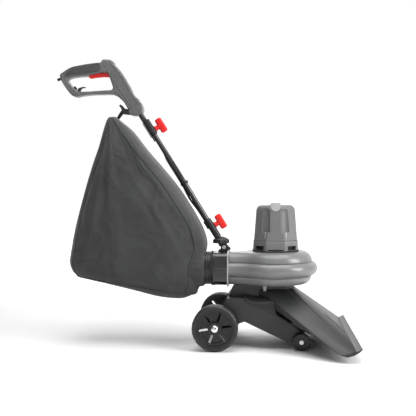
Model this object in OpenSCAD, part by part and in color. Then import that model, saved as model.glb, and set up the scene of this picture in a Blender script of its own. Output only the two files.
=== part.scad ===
// Wheeled leaf vacuum mulcher: a wide floor nozzle, a scroll fan under a motor
// tower, a side outlet into a hanging collection bag, and a two-part push handle.
// X runs forward to the nozzle, Y across, Z up from the ground. Millimetres.

/* [Wheels] */
// Diameter of a main wheel
wheel_d = 160; // [150:2:170]
// Width of a main wheel
wheel_w = 46; // [40:1:48]
// Track of the main wheels over their outer faces
track = 330; // [326:2:340]
// Diameter of the main axle
axle_d = 12; // [10:1:14]
// Diameter of a front wheel
front_wheel_d = 62; // [60:1:64]
// Width of a front wheel
front_wheel_w = 20; // [16:1:22]

/* [Nozzle] */
// Width of the nozzle mouth over its ends
mouth_w = 590; // [560:5:620]
// Wall of the nozzle and chassis mouldings
wall = 3; // [2.5:0.5:4]

/* [Fan and motor] */
// Outer radius of the fan housing at its middle band
fan_r = 152.6; // [150:0.2:156]
// Diameter of the impeller
impeller_d = 236; // [200:2:240]
// Number of impeller blades
blades = 8; // [6:1:10]
// Width of the motor cover across its flats, at the foot
cover_w = 162; // [156:1:166]

/* [Handle] */
// Lean of the handle tubes from upright, in degrees
lean = 32; // [30:0.5:34]
// Outer diameter of the lower handle tube
lower_tube_d = 19; // [18:0.5:20]
// Outer diameter of the upper handle tube
upper_tube_d = 21; // [20:0.5:22]
// Thickness of the grip across its shells
grip_w = 40; // [36:1:44]
// Diameter of the power lead along the tube
lead_d = 8; // [7:0.5:9]

/* [Bag] */
// Greatest thickness of the filled bag
bag_w = 240; // [200:5:250]

/* [Hidden] */

$fn = 96;
eps = 0.01;
gap = 0.3;          // running gap between pieces that move past each other
fit = 0.05;         // gap round a pin or shaft

// main places
axle_x = 58;
axle_z = wheel_d / 2;
front_x = 357;
front_z = front_wheel_d / 2;
motor_x = 268;
skirt_y = 112;      // outer face of the chassis side walls
neck_y = 60;        // half width of the neck under the fan
neck_top = 218.5;
split_z = 299.5;    // joint between the two fan housings
fan_top = 336;
duct_y = -40;       // centre line of the outlet
duct_z = 277;
flange_x = 101;
bolt = [81, -10, 350];      // handle pivot
foot = [24.5, 439];         // where the tube axis enters the socket, X and Z
tube_y = -10;               // lower tube, seen from above
upper_y = 11;               // upper tube and grip
upper_off = -6;             // upper tube behind the lower one
collar_s = 477;             // height of the grip's collar along the tube
lead_y = tube_y + 9;

// ---- helpers ----

// extrude an X-Z outline from y0 to y1
module across(y0, y1) {
    translate([0, y1, 0]) rotate([90, 0, 0]) linear_extrude(y1 - y0) children();
}

// both sides of the machine
module both_sides() {
    children();
    mirror([0, 1, 0]) children();
}

// a cylinder along Y from y0 to y1
module y_rod(x, z, r, y0, y1) {
    translate([x, y1, z]) rotate([90, 0, 0]) cylinder(r = r, h = y1 - y0);
}

// a cylinder along X from x0 to x1
module x_rod(x0, x1, y, z, r) {
    translate([x0, y, z]) rotate([0, 90, 0]) cylinder(r = r, h = x1 - x0);
}

// the handle's own frame: Z along the tube, X forward and up
module on_handle() {
    translate([foot.x, 0, foot.y]) rotate([0, -lean, 0]) children();
}

// a point of the handle frame in the machine's frame
function handle_point(x, y, s) = [
    foot.x + x * cos(lean) - s * sin(lean),
    y,
    foot.y + x * sin(lean) + s * cos(lean)
];

function catmull(a, b, c, d, t) = 0.5 * (2 * b + (c - a) * t
    + (2 * a - 5 * b + 4 * c - d) * t * t + (3 * b - a - 3 * c + d) * t * t * t);

// a smooth closed outline through the points, n steps between each pair
function smooth(p, n) = let (k = len(p)) [
    for (i = [0 : k - 1], j = [0 : n - 1])
        catmull(p[(i + k - 1) % k], p[i], p[(i + 1) % k], p[(i + 2) % k], j / n)
];

// a smooth open line through the points
function smooth_line(p, n) = let (k = len(p)) concat([
    for (i = [0 : k - 2], j = [0 : n - 1])
        catmull(p[max(i - 1, 0)], p[i], p[i + 1], p[min(i + 2, k - 1)], j / n)
], [p[k - 1]]);

function unit(v) = v / norm(v);

// a round tube of one polyhedron swept along a line
module sweep(line, r, sides) {
    k = len(line);
    dirs = [for (i = [0 : k - 1]) unit(line[min(i + 1, k - 1)] - line[max(i - 1, 0)])];
    rings = [for (i = [0 : k - 1])
        let (side = unit(cross(dirs[i], [0, 1, 0])), up = cross(side, dirs[i]))
        [for (j = [0 : sides - 1])
            line[i] + r * (cos(360 * j / sides) * side + sin(360 * j / sides) * up)]];
    loft(rings);
}

// a closed solid through rings of equal length
module loft(rings) {
    m = len(rings[0]);
    k = len(rings);
    pts = [for (ring = rings, p = ring) p];
    walls = [for (i = [0 : k - 2], j = [0 : m - 1], t = [0, 1])
        let (a = i * m + j, b = i * m + (j + 1) % m)
        t == 0 ? [a, b, b + m] : [a, b + m, a + m]];
    caps = [[for (j = [m - 1 : -1 : 0]) j], [for (j = [0 : m - 1]) (k - 1) * m + j]];
    polyhedron(points = pts, faces = concat(walls, caps));
}

// ---- chassis and nozzle ----

// height of the shelf's outer edge over the chassis side wall
function shelf_z(x) = 170 - 0.105 * pow(max(x - 160, 0), 1.31);

module skirt_outline() {
    polygon(concat(
        [[97, 178], [158, 178], [160, 167]],
        [for (x = [175 : 15 : 355]) [x, shelf_z(x) - 3]],
        [[392, 38], [408, 28], [318, 22], [159, 96], [137, 89],
         [axle_x + 22, axle_z - 12], [axle_x + 8, axle_z - 20], [axle_x - 12, axle_z - 16],
         [axle_x - 18, axle_z + 2], [axle_x - 10, axle_z + 24]]
    ));
}

// rear deck, sloping back wall and side walls
module chassis() color("#34373a") {
    difference() {
        union() {
            both_sides() {
                across(skirt_y - wall, skirt_y) skirt_outline();
                across(neck_y + 1, skirt_y) translate([97, 175]) square([61, wall]);
                y_rod(axle_x, axle_z, 17, skirt_y - 30, skirt_y + 4);
                y_rod(front_x, front_z, 9, skirt_y - 12, skirt_y + 2.5);
            }
            across(-skirt_y, skirt_y)
                polygon([[97, 178], [100.5, 176], [66, 98], [62, 100]]);
            across(-skirt_y, skirt_y)
                polygon([[62, 100], [66, 101], [160, 99], [159, 96]]);
        }
        y_rod(axle_x, axle_z, axle_d / 2, -200, 200);
        both_sides() y_rod(front_x, front_z, 4, skirt_y - 20, skirt_y + 10);
        funnel_outer();
    }
}

function mirrored(p) = concat(p, [for (q = p) [q.x, -q.y, q.z]]);

// convex solid through points given for one side
module solid_through(p) {
    q = mirrored(p);
    hull() for (a = q) translate(a) cube(eps, center = true);
}

end_y = mouth_w / 2;

// the funnel from the neck out to the mouth
module funnel_outer() {
    solid_through([
        [333, 35, 204], [322, 52, 206], [300, neck_y, 204], [208, neck_y, 204], [208, neck_y, 172],
        [294, 76, 140], [411, skirt_y, 28],
        [525, end_y, 40], [517, end_y, 26], [498, end_y, 21], [475, end_y, 26]
    ]);
}

module funnel_inner() {
    solid_through([
        [329, 33, 200], [319, 49, 202], [300, neck_y - 4, 200], [213, neck_y - 4, 200],
        [213, neck_y - 4, 171], [297, 71, 137], [417, skirt_y - 5, 22], [417, skirt_y - 5, 10],
        [520, end_y - 4, 38], [518, end_y - 4, 10], [480, end_y - 4, 10], [480, end_y - 4, 22]
    ]);
}

// curved shelf that bridges the neck and the chassis side wall
module shelf() {
    xs = [for (x = [160 : 17.5 : 370]) x];
    loft([for (x = xs) [
        [x, neck_y - 3, shelf_z(x) + 15], [x, skirt_y, shelf_z(x)],
        [x, skirt_y, shelf_z(x) - 2.7], [x, neck_y - 3, shelf_z(x) + 11]
    ]]);
}

// neck, funnel and shelf in one moulding
module nozzle_hood() color("#3d4043") {
    difference() {
        union() {
            difference() {
                funnel_outer();
                funnel_inner();
            }
            // neck: rounded front, sloping back
            across(-neck_y, neck_y)
                polygon([[120, neck_top], [300, neck_top], [300, 172], [162, 172],
                    [162, 178.3], [97.5, 178.3]]);
            translate([300, -neck_y + 28, 196]) cube([33, 2 * neck_y - 56, neck_top - 196]);
            both_sides() translate([300, neck_y - 30, 196]) cylinder(r = 30, h = neck_top - 196);
            both_sides() shelf();
        }
        translate([motor_x, 0, 100]) cylinder(r = 55, h = 200);
        translate([104, -neck_y + 4, 160]) cube([100, 2 * neck_y - 8, 50]);
        translate([190, -neck_y + 4, 160]) cube([124, 2 * neck_y - 8, 30]);
    }
}

// upturned strip along the mouth's front edge
module front_lip() color("#55585b") {
    across(-end_y + 1, end_y - 1) {
        polygon([
            [517.6, 25.8], [528, 31], [537, 37], [544, 43.2], [547, 47],
            [543.6, 49], [538, 44.6], [532, 41.6], [525.6, 40]
        ]);
    }
}

// plain raised badge with two blank panels
module hood_badge() color("#202224") {
    slope = atan2(204 - 40, 525 - 333);
    translate([484, 0, 204 - (484 - 333) * tan(slope)]) rotate([0, slope, 0]) {
        translate([-44, -32, 0.2]) cube([40, 64, 1.4]);
        translate([4, -32, 0.2]) cube([40, 64, 1.4]);
    }
}

// ---- wheels ----

module main_axle() color("silver") {
    y_rod(axle_x, axle_z, axle_d / 2 - fit, -track / 2 - 4, track / 2 + 4);
}

// domed caps pressed on the ends of the axle
module axle_caps() color("gainsboro") both_sides()
    translate([axle_x, track / 2 + gap, axle_z]) rotate([-90, 0, 0]) rotate_extrude() difference() {
        intersection() {
            translate([0, -6]) circle(r = 15.5);
            square([13, 11]);
        }
        translate([-1, -1]) square([axle_d / 2 + 1, 4.8]);
    }

// rim of a main wheel, axis along Y, outer face at +Y
module rim() {
    half = wheel_w / 2;
    rotate([-90, 0, 0]) difference() {
        rotate_extrude() {
            translate([axle_d / 2, -half]) square([15.5, wheel_w]);
            translate([20, 4]) square([42, 5]);
            translate([60, -half + 3]) square([6, wheel_w - 6]);
            translate([50, 4]) square([12, 11]);
        }
        for (i = [0 : 5]) rotate(51 + 60 * i)
            translate([25, -3.6, -half]) cube([32, 7.2, wheel_w + 2]);
    }
}

// tyre with a rounded shoulder and shallow cross grooves
module tyre() {
    half = wheel_w / 2;
    rotate([-90, 0, 0]) difference() {
        rotate_extrude() difference() {
            translate([66, -half]) square([wheel_d / 2 - 66, wheel_w]);
            for (s = [-1, 1]) translate([wheel_d / 2, s * half]) rotate(45) square(8, center = true);
        }
        for (i = [0 : 29]) rotate(12 * i + 6) translate([wheel_d / 2 + 1.6, 0, 0])
            cylinder(r = 2.6, h = wheel_w + 2, center = true, $fn = 24);
    }
}

module at_main_wheel(side) {
    translate([axle_x, side * (track - wheel_w) / 2, axle_z])
        mirror([0, side < 0 ? 1 : 0, 0]) children();
}

module wheel_rim_left() color("#2b2d2f") at_main_wheel(1) rim();
module wheel_rim_right() color("#2b2d2f") at_main_wheel(-1) rim();
module tyre_left() color("#3a3c3e") at_main_wheel(1) tyre();
module tyre_right() color("#3a3c3e") at_main_wheel(-1) tyre();

front_y = skirt_y + 3 + front_wheel_w / 2;

module front_wheel(side) {
    translate([front_x, side * front_y, front_z]) rotate([90, 0, 0]) rotate_extrude() difference() {
        translate([5 + fit, -front_wheel_w / 2]) square([front_z - 5 - fit, front_wheel_w]);
        for (s = [-1, 1]) {
            translate([12, s * front_wheel_w / 2 - 2.5]) square([11, 5]);
            translate([front_z, s * front_wheel_w / 2]) rotate(45) square(4, center = true);
        }
    }
}

module front_wheel_left() color("#2b2d2f") front_wheel(1);
module front_wheel_right() color("#2b2d2f") front_wheel(-1);

module front_wheel_bolts() color("gainsboro") both_sides() {
    y_rod(front_x, front_z, 4, skirt_y - 19, skirt_y + 2.5);
    y_rod(front_x, front_z, 5, skirt_y + 2.5, front_y + front_wheel_w / 2 + 0.4);
    y_rod(front_x, front_z, 7.5, front_y + front_wheel_w / 2 + 0.3, front_y + front_wheel_w / 2 + 3.4);
}

// ---- fan housing ----

// the three bands in radius and height, shrunk by t for the inside
module bands(t) {
    inner = 60;
    difference() {
        union() {
            translate([fan_r - 25.4, 275]) circle(r = 25.4 - t);
            translate([fan_r - 55.6, 299]) circle(r = 37 - t);
            translate([fan_r - 51.6, 249]) circle(r = 30 - t);
            translate([inner, 219 + t]) square([fan_r - 51.6 - inner, 117 - 2 * t]);
            translate([fan_r - 60, 245]) square([34 - t, 60]);
        }
        translate([-500, 0]) square([500 + inner, 400]);
    }
}

duct_r = 62;        // half width of the housing's outlet

// whole housing volume, shrunk by t; the outlet runs past the flange by more
module housing_volume(t, more) {
    translate([motor_x, 0, 0]) {
        rotate_extrude() bands(t);
        translate([0, 0, 219 + t]) cylinder(r = 70, h = 117 - 2 * t);
    }
    translate([flange_x - more, 0, 0]) rotate([90, 0, 90])
        linear_extrude(motor_x - 82 - flange_x + more) outlet_section(t);
}

// section of the outlet: the same bands on both sides of its centre line
module outlet_section(t) {
    intersection() {
        union() {
            for (s = [0, 1]) translate([duct_y, 0]) mirror([s, 0]) translate([duct_r - fan_r, 0]) {
                translate([fan_r - 25.4, 275]) circle(r = 25.4 - t);
                translate([fan_r - 55.6, 299]) circle(r = 37 - t);
                translate([fan_r - 51.6, 249]) circle(r = 30 - t);
            }
            translate([duct_y - 10, 219 + t]) square([20, 117 - 2 * t]);
            translate([duct_y - 38 + t, 245]) square([76 - 2 * t, 60]);
        }
        translate([duct_y - 100, 219 + t]) square([200, 117 - 2 * t]);
    }
}

module housing_shell() {
    difference() {
        housing_volume(0, 0);
        housing_volume(wall, 10);
        translate([motor_x, 0, 200]) cylinder(r = 52, h = 30);
        translate([motor_x, 0, fan_top - 10]) cylinder(r = 66, h = 30);
    }
}

module fan_housing_lower() color("#9c9fa1") intersection() {
    housing_shell();
    translate([0, -300, 200]) cube([600, 600, split_z - 200 - 0.1]);
}

module fan_housing_upper() color("#a6a9ab") intersection() {
    housing_shell();
    translate([0, -300, split_z + 0.1]) cube([600, 600, 100]);
}

// tapered clips that hold the fan housing down on the neck
module housing_clips() color("#a6a9ab") both_sides() difference() {
    across(neck_y + 0.1, neck_y + 9) polygon([[223, 218.6], [237, 218.6], [233, 184], [227, 184]]);
    funnel_outer();
}

module inlet_ring() color("#2b2d2f") translate([motor_x, 0, 0]) difference() {
    union() {
        translate([0, 0, 205]) cylinder(r = 51.8, h = 20);
        translate([0, 0, 222.1]) cylinder(r = 58, h = 2.9);
    }
    translate([0, 0, 200]) cylinder(r = 48, h = 30);
}

// ---- rotor and motor ----

module motor_shaft() color("silver") translate([motor_x, 0, 228]) cylinder(r = 6 - fit, h = 240);

module impeller() color("#c3c6c8") translate([motor_x, 0, 0]) difference() {
    union() {
        translate([0, 0, 306]) cylinder(r = impeller_d / 2, h = 4);
        translate([0, 0, 254.1]) cylinder(r = 17, h = 54);
        for (i = [0 : blades - 1]) rotate(360 / blades * i)
            translate([14, 0, 0]) rotate(-18) translate([0, -1.5, 262])
                cube([impeller_d / 2 - 22, 3, 45]);
    }
    translate([0, 0, 240]) cylinder(r = 6, h = 90);
}

module mulching_blade() color("#8d9093") translate([motor_x, 0, 0]) difference() {
    union() {
        for (a = [0, 90]) rotate(a) translate([-40, -9, 250]) cube([80, 18, 4]);
        translate([0, 0, 250]) cylinder(r = 14, h = 4);
    }
    translate([0, 0, 240]) cylinder(r = 6, h = 20);
}

module blade_nut() color("silver") translate([motor_x, 0, 0]) difference() {
    translate([0, 0, 238]) cylinder(r = 11, h = 11.8, $fn = 6);
    translate([0, 0, 230]) cylinder(r = 6, h = 24);
}

module motor_plate() color("#8d9093") translate([motor_x, 0, 0]) difference() {
    union() {
        translate([0, 0, fan_top + 0.1]) cylinder(r = 76, h = 5);
        translate([0, 0, 326]) cylinder(r = 65.8, h = 12);
    }
    translate([0, 0, 300]) cylinder(r = 16, h = 60);
}

module bearing(z) {
    translate([motor_x, 0, z]) difference() {
        cylinder(r = 16, h = 10);
        translate([0, 0, -1]) cylinder(r = 6, h = 12);
    }
}

module bearings() color("silver") {
    bearing(328);
    bearing(446);
}

module armature() color("#b06a3a") translate([motor_x, 0, 372]) difference() {
    union() {
        cylinder(r = 27, h = 50);
        translate([0, 0, -8]) cylinder(r = 20, h = 66);
    }
    translate([0, 0, -20]) cylinder(r = 6, h = 100);
}

module commutator() color("#c98a4a") translate([motor_x, 0, 431]) difference() {
    cylinder(r = 14, h = 13);
    translate([0, 0, -1]) cylinder(r = 6, h = 20);
}

module cooling_fan() color("#2b2d2f") translate([motor_x, 0, 0]) difference() {
    union() {
        translate([0, 0, 345]) cylinder(r = 40, h = 2.5);
        translate([0, 0, 345]) cylinder(r = 12, h = 16);
        for (i = [0 : 9]) rotate(36 * i) translate([10, -1, 347]) cube([29, 2, 13]);
    }
    translate([0, 0, 340]) cylinder(r = 6, h = 30);
}

module stator() color("#6c6f72") translate([motor_x, 0, 0]) difference() {
    union() {
        translate([0, 0, 374]) cylinder(r = 44, h = 46);
        for (a = [45 : 90 : 315]) rotate(a) translate([48, 0, 341.2]) cylinder(r = 5, h = 115);
        translate([0, 0, 446]) cylinder(r = 53, h = 10);
    }
    translate([0, 0, 360]) cylinder(r = 28, h = 70);
    translate([0, 0, 430]) cylinder(r = 16, h = 40);
}

module brush_holders() color("#a88b4c") translate([motor_x, 0, 0])
    for (a = [0, 180]) rotate(a) translate([14.3, -5, 434]) cube([30, 10, 12]);

// octagonal tower through steps of half width and height
module octagon(steps) {
    turned = 1 / cos(22.5);
    last = steps[len(steps) - 1];
    translate([motor_x, 0, 0]) rotate(22.5) rotate_extrude($fn = 8) polygon(concat(
        [[0, steps[0].y]], [for (s = steps) [s.x * turned, s.y]], [[0, last.y]]
    ));
}

foot_w = cover_w / 2;

// four finger wells in the cover's front and back
module well_places() {
    translate([motor_x, 0, 0])
        for (sx = [-1, 1], sy = [-1, 1]) translate([sx * 40, sy * 74.5, 0]) children();
}

// four places under the finger wells, for the cover's screws
module corner_places(y) {
    translate([motor_x, 0, 0])
        for (sx = [-1, 1], sy = [-1, 1]) translate([sx * 37, sy * y, 0]) children();
}

well_z = 405;       // floor of the finger wells
seam_z = 376;       // joint between the motor base and its cover

module motor_base() color("#7b7e81") difference() {
    octagon([[foot_w + 4, fan_top + 0.2], [foot_w + 3, fan_top + 4], [foot_w, fan_top + 4],
        [foot_w - 1, seam_z]]);
    translate([motor_x, 0, 330]) cylinder(r = foot_w - 4, h = 60);
    for (a = [45 : 90 : 315]) translate([motor_x, 0, 0]) rotate(a)
        translate([60, -20, fan_top + 5]) cube([40, 40, 14]);
    for (a = [0 : 90 : 270]) translate([motor_x, 0, 0]) rotate(a)
        translate([60, -26, fan_top + 5]) cube([40, 52, 7]);
    corner_places(70) translate([0, 0, 360]) cylinder(r = 2, h = 30);
}

// half width and height of the cover's outside: foot, shoulder and top
cover_steps = [[foot_w - 2.5, seam_z + 0.4], [foot_w - 11, 490], [foot_w - 23, 503.5]];

module motor_cover() color("#85888b") difference() {
    octagon(cover_steps);
    difference() {
        octagon([[foot_w - 6, seam_z - 1], [foot_w - 14.5, 487], [foot_w - 28, 500]]);
        well_places() translate([0, 0, well_z - wall]) cylinder(r = 20 + wall, h = 100);
        corner_places(70) translate([0, 0, seam_z - 1]) cylinder(r = 5, h = well_z - seam_z);
    }
    well_places() translate([0, 0, well_z]) cylinder(r = 20, h = 84);
    corner_places(70) translate([0, 0, seam_z - 1]) cylinder(r = 2.2, h = 40);
}

module cover_screws() color("silver") corner_places(70) {
    translate([0, 0, 361]) cylinder(r = 2 - fit, h = 45);
    translate([0, 0, well_z + 0.1]) cylinder(r = 4, h = 2.4);
}

// strap-like rib over the top of the cover, with round ends on its two faces
module cover_strap() color("#c9cbcd") {
    y_top = foot_w - 8;
    difference() {
        translate([motor_x, 0, 0]) across(-y_top, y_top) {
            polygon(concat(
                [for (a = [180 : 12 : 360]) [18 * cos(a), 500 + 18 * sin(a)]],
                [for (a = [0 : 30 : 90]) [14 + 4 * cos(a), 508 + 4 * sin(a)]],
                [for (a = [90 : 30 : 180]) [-14 + 4 * cos(a), 508 + 4 * sin(a)]]
            ));
        }
        octagon([for (s = cover_steps) [s.x + 0.1, s.y + 0.1]]);
    }
}

// ---- outlet ----

// rounded square tube along X
module square_ring(x0, x1, half_out, half_in, corner) {
    translate([x0, duct_y, duct_z]) rotate([90, 0, 90]) linear_extrude(x1 - x0) difference() {
        rounded_square(half_out, corner);
        rounded_square(half_in, corner - 3);
    }
}

module rounded_square(half, corner) {
    square([2 * half, 2 * (half - corner)], center = true);
    square([2 * (half - corner), 2 * half], center = true);
    for (sx = [-1, 1], sy = [-1, 1])
        translate([sx * (half - corner), sy * (half - corner)]) circle(r = corner);
}

module outlet_flange() color("#85888b") square_ring(flange_x - 4.6, flange_x - 0.1, 63, 52, 24);

module outlet_duct() color("#222426") difference() {
    union() {
        square_ring(51, flange_x - 4.7, 57, 53.5, 22);
        square_ring(46, 51.1, 59, 53.5, 22);
    }
    translate([56, duct_y - 60, duct_z + 3]) cube([35, 4.4, 34]);
    translate([68, duct_y - 60, duct_z - 1]) cube([14, 4.4, 2]);
}

// ribbed ring that clamps the bag's collar to the outlet
module outlet_ring() color("#2b2d2f") rotate_at_duct() rotate_extrude() {
    translate([56, 36]) square([5.5, 8]);
    translate([56, 40]) square([3, 5.9]);
    translate([61.5, 40]) circle(r = 1.6);
}

module rotate_at_duct() {
    translate([0, duct_y, duct_z]) rotate([0, 90, 0]) children();
}

module bag_collar() color("#232527") rotate_at_duct() rotate_extrude() {
    translate([55.8, -14]) square([2.4, 49.9]);
    translate([55.8, 10]) square([3.4, 4]);
}

// ---- bag ----

// rear point, front point and half thickness of the bag, from top to bottom
bag_rows = [
    [[-345, 824], [-318, 826], 0.18],
    [[-352, 806], [-300, 810], 0.34],
    [[-362, 768], [-257, 773], 0.52],
    [[-376, 712], [-203, 703], 0.72],
    [[-398, 645], [-150, 642], 0.84],
    [[-422, 565], [-88, 566], 0.92],
    [[-446, 480], [-34, 484], 0.97],
    [[-463, 410], [8, 408], 1],
    [[-473, 355], [20, 356], 1],
    [[-480, 300], [-4, 288], 1],
    [[-470, 266], [-2, 222], 0.96],
    [[-440, 246], [-24, 180], 0.84]
];

// ring of one bag row: a rounded rectangle from rear to front, shrunk by t
function bag_ring(row, t) = let (
    mid = (row[0] + row[1]) / 2, along = (row[1] - row[0]) / 2,
    long = norm(along), half = row[2] * bag_w / 2 - t, k = (long - t) / long
) [for (j = [0 : 31]) let (
    c = cos(11.25 * j), s = sin(11.25 * j),
    u = sign(c) * pow(abs(c), 0.6), v = sign(s) * pow(abs(s), 0.6))
    [mid.x + along.x * u * k, half * v - 12, mid.y + along.y * u * k]];

// hollow rows: all but the tip, with the floor raised by the cloth's thickness
hollow_rows = concat([for (i = [1 : 10]) bag_rows[i]], [[[-436, 251], [-29, 185], 0.82]]);

module bag() color("#4b4d4f") difference() {
    loft([for (row = bag_rows) bag_ring(row, 0)]);
    loft([for (row = hollow_rows) bag_ring(row, 3)]);
    x_rod(-40, 60, duct_y, duct_z, 59.6);
}

// webbing loop that hangs on the hook and holds the bag's tip
module bag_strap() color("#1d1e20") at_grip() difference() {
    across(-11, 11) polygon([[-61, 8], [-70, 13], [-86, -11], [-77, -14]]);
    across(-6.4, 6.4) offset(delta = 0.5) hook_outline();
    across(-8, 8) polygon([[-63, 3], [-70, 6], [-80, -8], [-74, -11]]);
}

// ---- handle foot ----

module foot_bracket() color("#2b2d2f") difference() {
    union() {
        across(bolt.y - 22, bolt.y + 22)
            polygon([[60, 334.2], [96, 334.2], [96, 340.2], [104, 340.2], [104, 345], [60, 340]]);
        for (s = [-1, 1]) across(bolt.y + s * 15.5 - 3.5, bolt.y + s * 15.5 + 3.5) {
            polygon([[66, 338], [104, 344], [90, 357], [72, 357]]);
            translate([bolt.x, bolt.z]) circle(r = 11);
        }
    }
    y_rod(bolt.x, bolt.z, 4, bolt.y - 40, bolt.y + 40);
}

module foot_bolt() color("gainsboro") {
    y_rod(bolt.x, bolt.z, 4 - fit, bolt.y - 19.5, bolt.y + 19.5);
    for (s = [-1, 1]) y_rod(bolt.x, bolt.z, 7, bolt.y + s * 21 - 1.9, bolt.y + s * 21 + 1.9);
}

// ridged dome over the pivot, with the lug that turns on the bolt
module pivot_dome() color("#303234") difference() {
    union() {
        translate([69, bolt.y, 0]) {
            rotate_extrude() intersection() {
                translate([0, 352]) circle(r = 37);
                translate([0, 364]) square([30, 26]);
            }
            for (i = [0 : 17]) rotate(20 * i) translate([29, 0, 364]) cylinder(r = 1.6, h = 12, $fn = 24);
            translate([0, 0, 358]) cylinder(r = 11.5, h = 8);
        }
        across(bolt.y - 11.6, bolt.y + 11.6) {
            polygon([[62, 366], [58, 360], [72, 346], [90, 348], [88, 366]]);
            translate([bolt.x, bolt.z]) circle(r = 7);
        }
    }
    y_rod(bolt.x, bolt.z, 4, bolt.y - 40, bolt.y + 40);
}

// ---- handle tubes ----

module tube_socket() color("#26282a") difference() {
    on_handle() socket_body();
    translate([69, bolt.y, 352]) sphere(r = 37.1);
}

module socket_body() difference() {
    union() {
        translate([0, tube_y, -64]) cylinder(r = 13, h = 76);
        translate([-17, tube_y - 8, -20]) cube([10, 22, 32]);
        translate([6, tube_y - 9, -31]) cube([8, 18, 24]);
    }
    translate([0, tube_y, -50]) cylinder(r = lower_tube_d / 2 + fit, h = 80);
    translate([-10.5, lead_y, -12]) cylinder(r = lead_d / 2 + 0.3, h = 40);
    translate([0, tube_y, -19]) rotate([0, 90, 0]) cylinder(r = 4, h = 20);
}

module lower_tube() color("#1c1e20") on_handle() translate([0, tube_y, -49.9]) difference() {
    cylinder(r = lower_tube_d / 2, h = 479);
    translate([0, 0, -1]) cylinder(r = lower_tube_d / 2 - 1.5, h = 490);
}

module upper_tube() color("#1c1e20") on_handle() translate([upper_off, upper_y, 364]) difference() {
    cylinder(r = upper_tube_d / 2, h = 160);
    translate([0, 0, -1]) cylinder(r = upper_tube_d / 2 - 1.5, h = 180);
}

module tube_plug() color("#2b2d2f") on_handle() translate([upper_off, upper_y, 0]) difference() {
    union() {
        translate([0, 0, 360.9]) cylinder(r = upper_tube_d / 2, h = 3);
        translate([0, 0, 363]) cylinder(r = upper_tube_d / 2 - 1.6, h = 12);
    }
    translate([0, 0, 350]) cylinder(r = lead_d / 2 + 1, h = 40);
}

module clamp_bracket() color("#26282a") on_handle() difference() {
    union() {
        translate([0, 0, 380]) linear_extrude(61) hull() {
            translate([0, tube_y]) circle(r = 13, $fn = 32);
            translate([upper_off, upper_y]) circle(r = 13.5, $fn = 32);
        }
        translate([4, -9, 386]) cube([9.6, 18, 24]);
    }
    translate([0, tube_y, 370]) cylinder(r = lower_tube_d / 2 + fit, h = 80);
    translate([upper_off, upper_y, 370]) cylinder(r = upper_tube_d / 2 + gap, h = 80);
    translate([6, 0, 398]) rotate([0, 90, 0]) cylinder(r = 4, h = 20);
}

// clip that holds the lead against the lower tube
module lead_clip() color("#26282a") on_handle() difference() {
    union() {
        translate([0, tube_y, 164]) cylinder(r = lower_tube_d / 2 + 2, h = 12);
        translate([-10.5, lead_y, 164]) cylinder(r = lead_d / 2 + 2, h = 12);
        translate([9, tube_y - 2.5, 166]) cube([5, 5, 8]);
    }
    translate([0, tube_y, 150]) cylinder(r = lower_tube_d / 2 + fit, h = 40);
    translate([-10.5, lead_y, 150]) cylinder(r = lead_d / 2 + fit, h = 40);
}

// X, Y and distance along the handle, by hand: out of the upper tube, past
// the clip, then down to the socket
lead_route = [
    [-6, 11, 410], [-6, 11, 370], [-6, 11, 322], [-8, 5, 300], [-10.5, lead_y, 276],
    [-10.5, lead_y, 230], [-10.5, lead_y, 178], [-10.5, lead_y, 162], [-14, lead_y, 128],
    [-15, lead_y, 106], [-12, lead_y, 74], [-10.5, lead_y, 46], [-10.5, lead_y, 16],
    [-10.5, lead_y, -10]
];

module power_lead() color("#1c1e20") on_handle() sweep(smooth_line(lead_route, 3), lead_d / 2, 12);

// T-shaped clamping knob, axis along the handle frame's X, stud towards -X
module t_knob() {
    rotate([0, 90, 0]) {
        translate([0, 0, -4]) cylinder(r = 4 - fit, h = 10);
        cylinder(r1 = 10, r2 = 8.5, h = 18);
        hull() {
            for (s = [-1, 1]) translate([s * 18, 0, 16]) cylinder(r = 10, h = 4, $fn = 32);
            for (s = [-1, 1]) translate([s * 20, 0, 30]) cylinder(r = 8, h = 8, $fn = 32);
        }
    }
}

module lower_knob() color("#e8281f") on_handle() translate([14.3, tube_y, -19]) t_knob();
module upper_knob() color("#e8281f") on_handle() translate([13.9, 0, 398]) t_knob();

// ---- grip ----

grip_at = handle_point(upper_off, upper_y, collar_s);

module at_grip() {
    translate([grip_at.x, grip_at.y, grip_at.z]) children();
}

// outline of the D-shaped grip, from the collar round
grip_points = [
    [-12, -5], [-30, -3], [-41, 12], [-56, 38], [-71, 54], [-89, 67], [-108, 72], [-145, 72],
    [-181, 71], [-218, 67], [-236, 63], [-251, 67], [-266, 82], [-284, 107], [-296, 130],
    [-298, 147], [-284, 156], [-255, 172], [-218, 181], [-181, 187], [-147, 190], [-138, 196],
    [-130, 198], [-108, 196], [-89, 177], [-71, 157], [-53, 130], [-34, 96], [-20, 68],
    [-5, 54], [5, 34], [9, 12], [4, 1]
];

hand_gap_points = [
    [-270, 126], [-255, 135], [-225, 139], [-196, 141], [-165, 148], [-137, 152], [-118, 148],
    [-112, 133], [-104, 111], [-100, 96], [-106, 88], [-126, 87], [-218, 82], [-236, 89],
    [-251, 101]
];

module grip_outline() {
    difference() {
        polygon(smooth(grip_points, 3));
        polygon(smooth(hand_gap_points, 3));
    }
}

// grip with stepped shoulders, between two planes either side of its middle
module grip_body() {
    half = grip_w / 2;
    across(-half, half) offset(delta = -5) grip_outline();
    across(-half + 2, half - 2) offset(delta = -2) grip_outline();
    across(-half + 5, half - 5) grip_outline();
}

module grip_hollow() {
    half = grip_w / 2;
    difference() {
        across(-half + 4, half - 4) offset(delta = -5.5) grip_outline();
        for (p = screw_places) y_rod(p.x, p.y, 5, -half, half);
        y_rod(trigger_pivot.x, trigger_pivot.y, 6, -half, -8);
        y_rod(trigger_pivot.x, trigger_pivot.y, 6, 8, half);
    }
}

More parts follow.
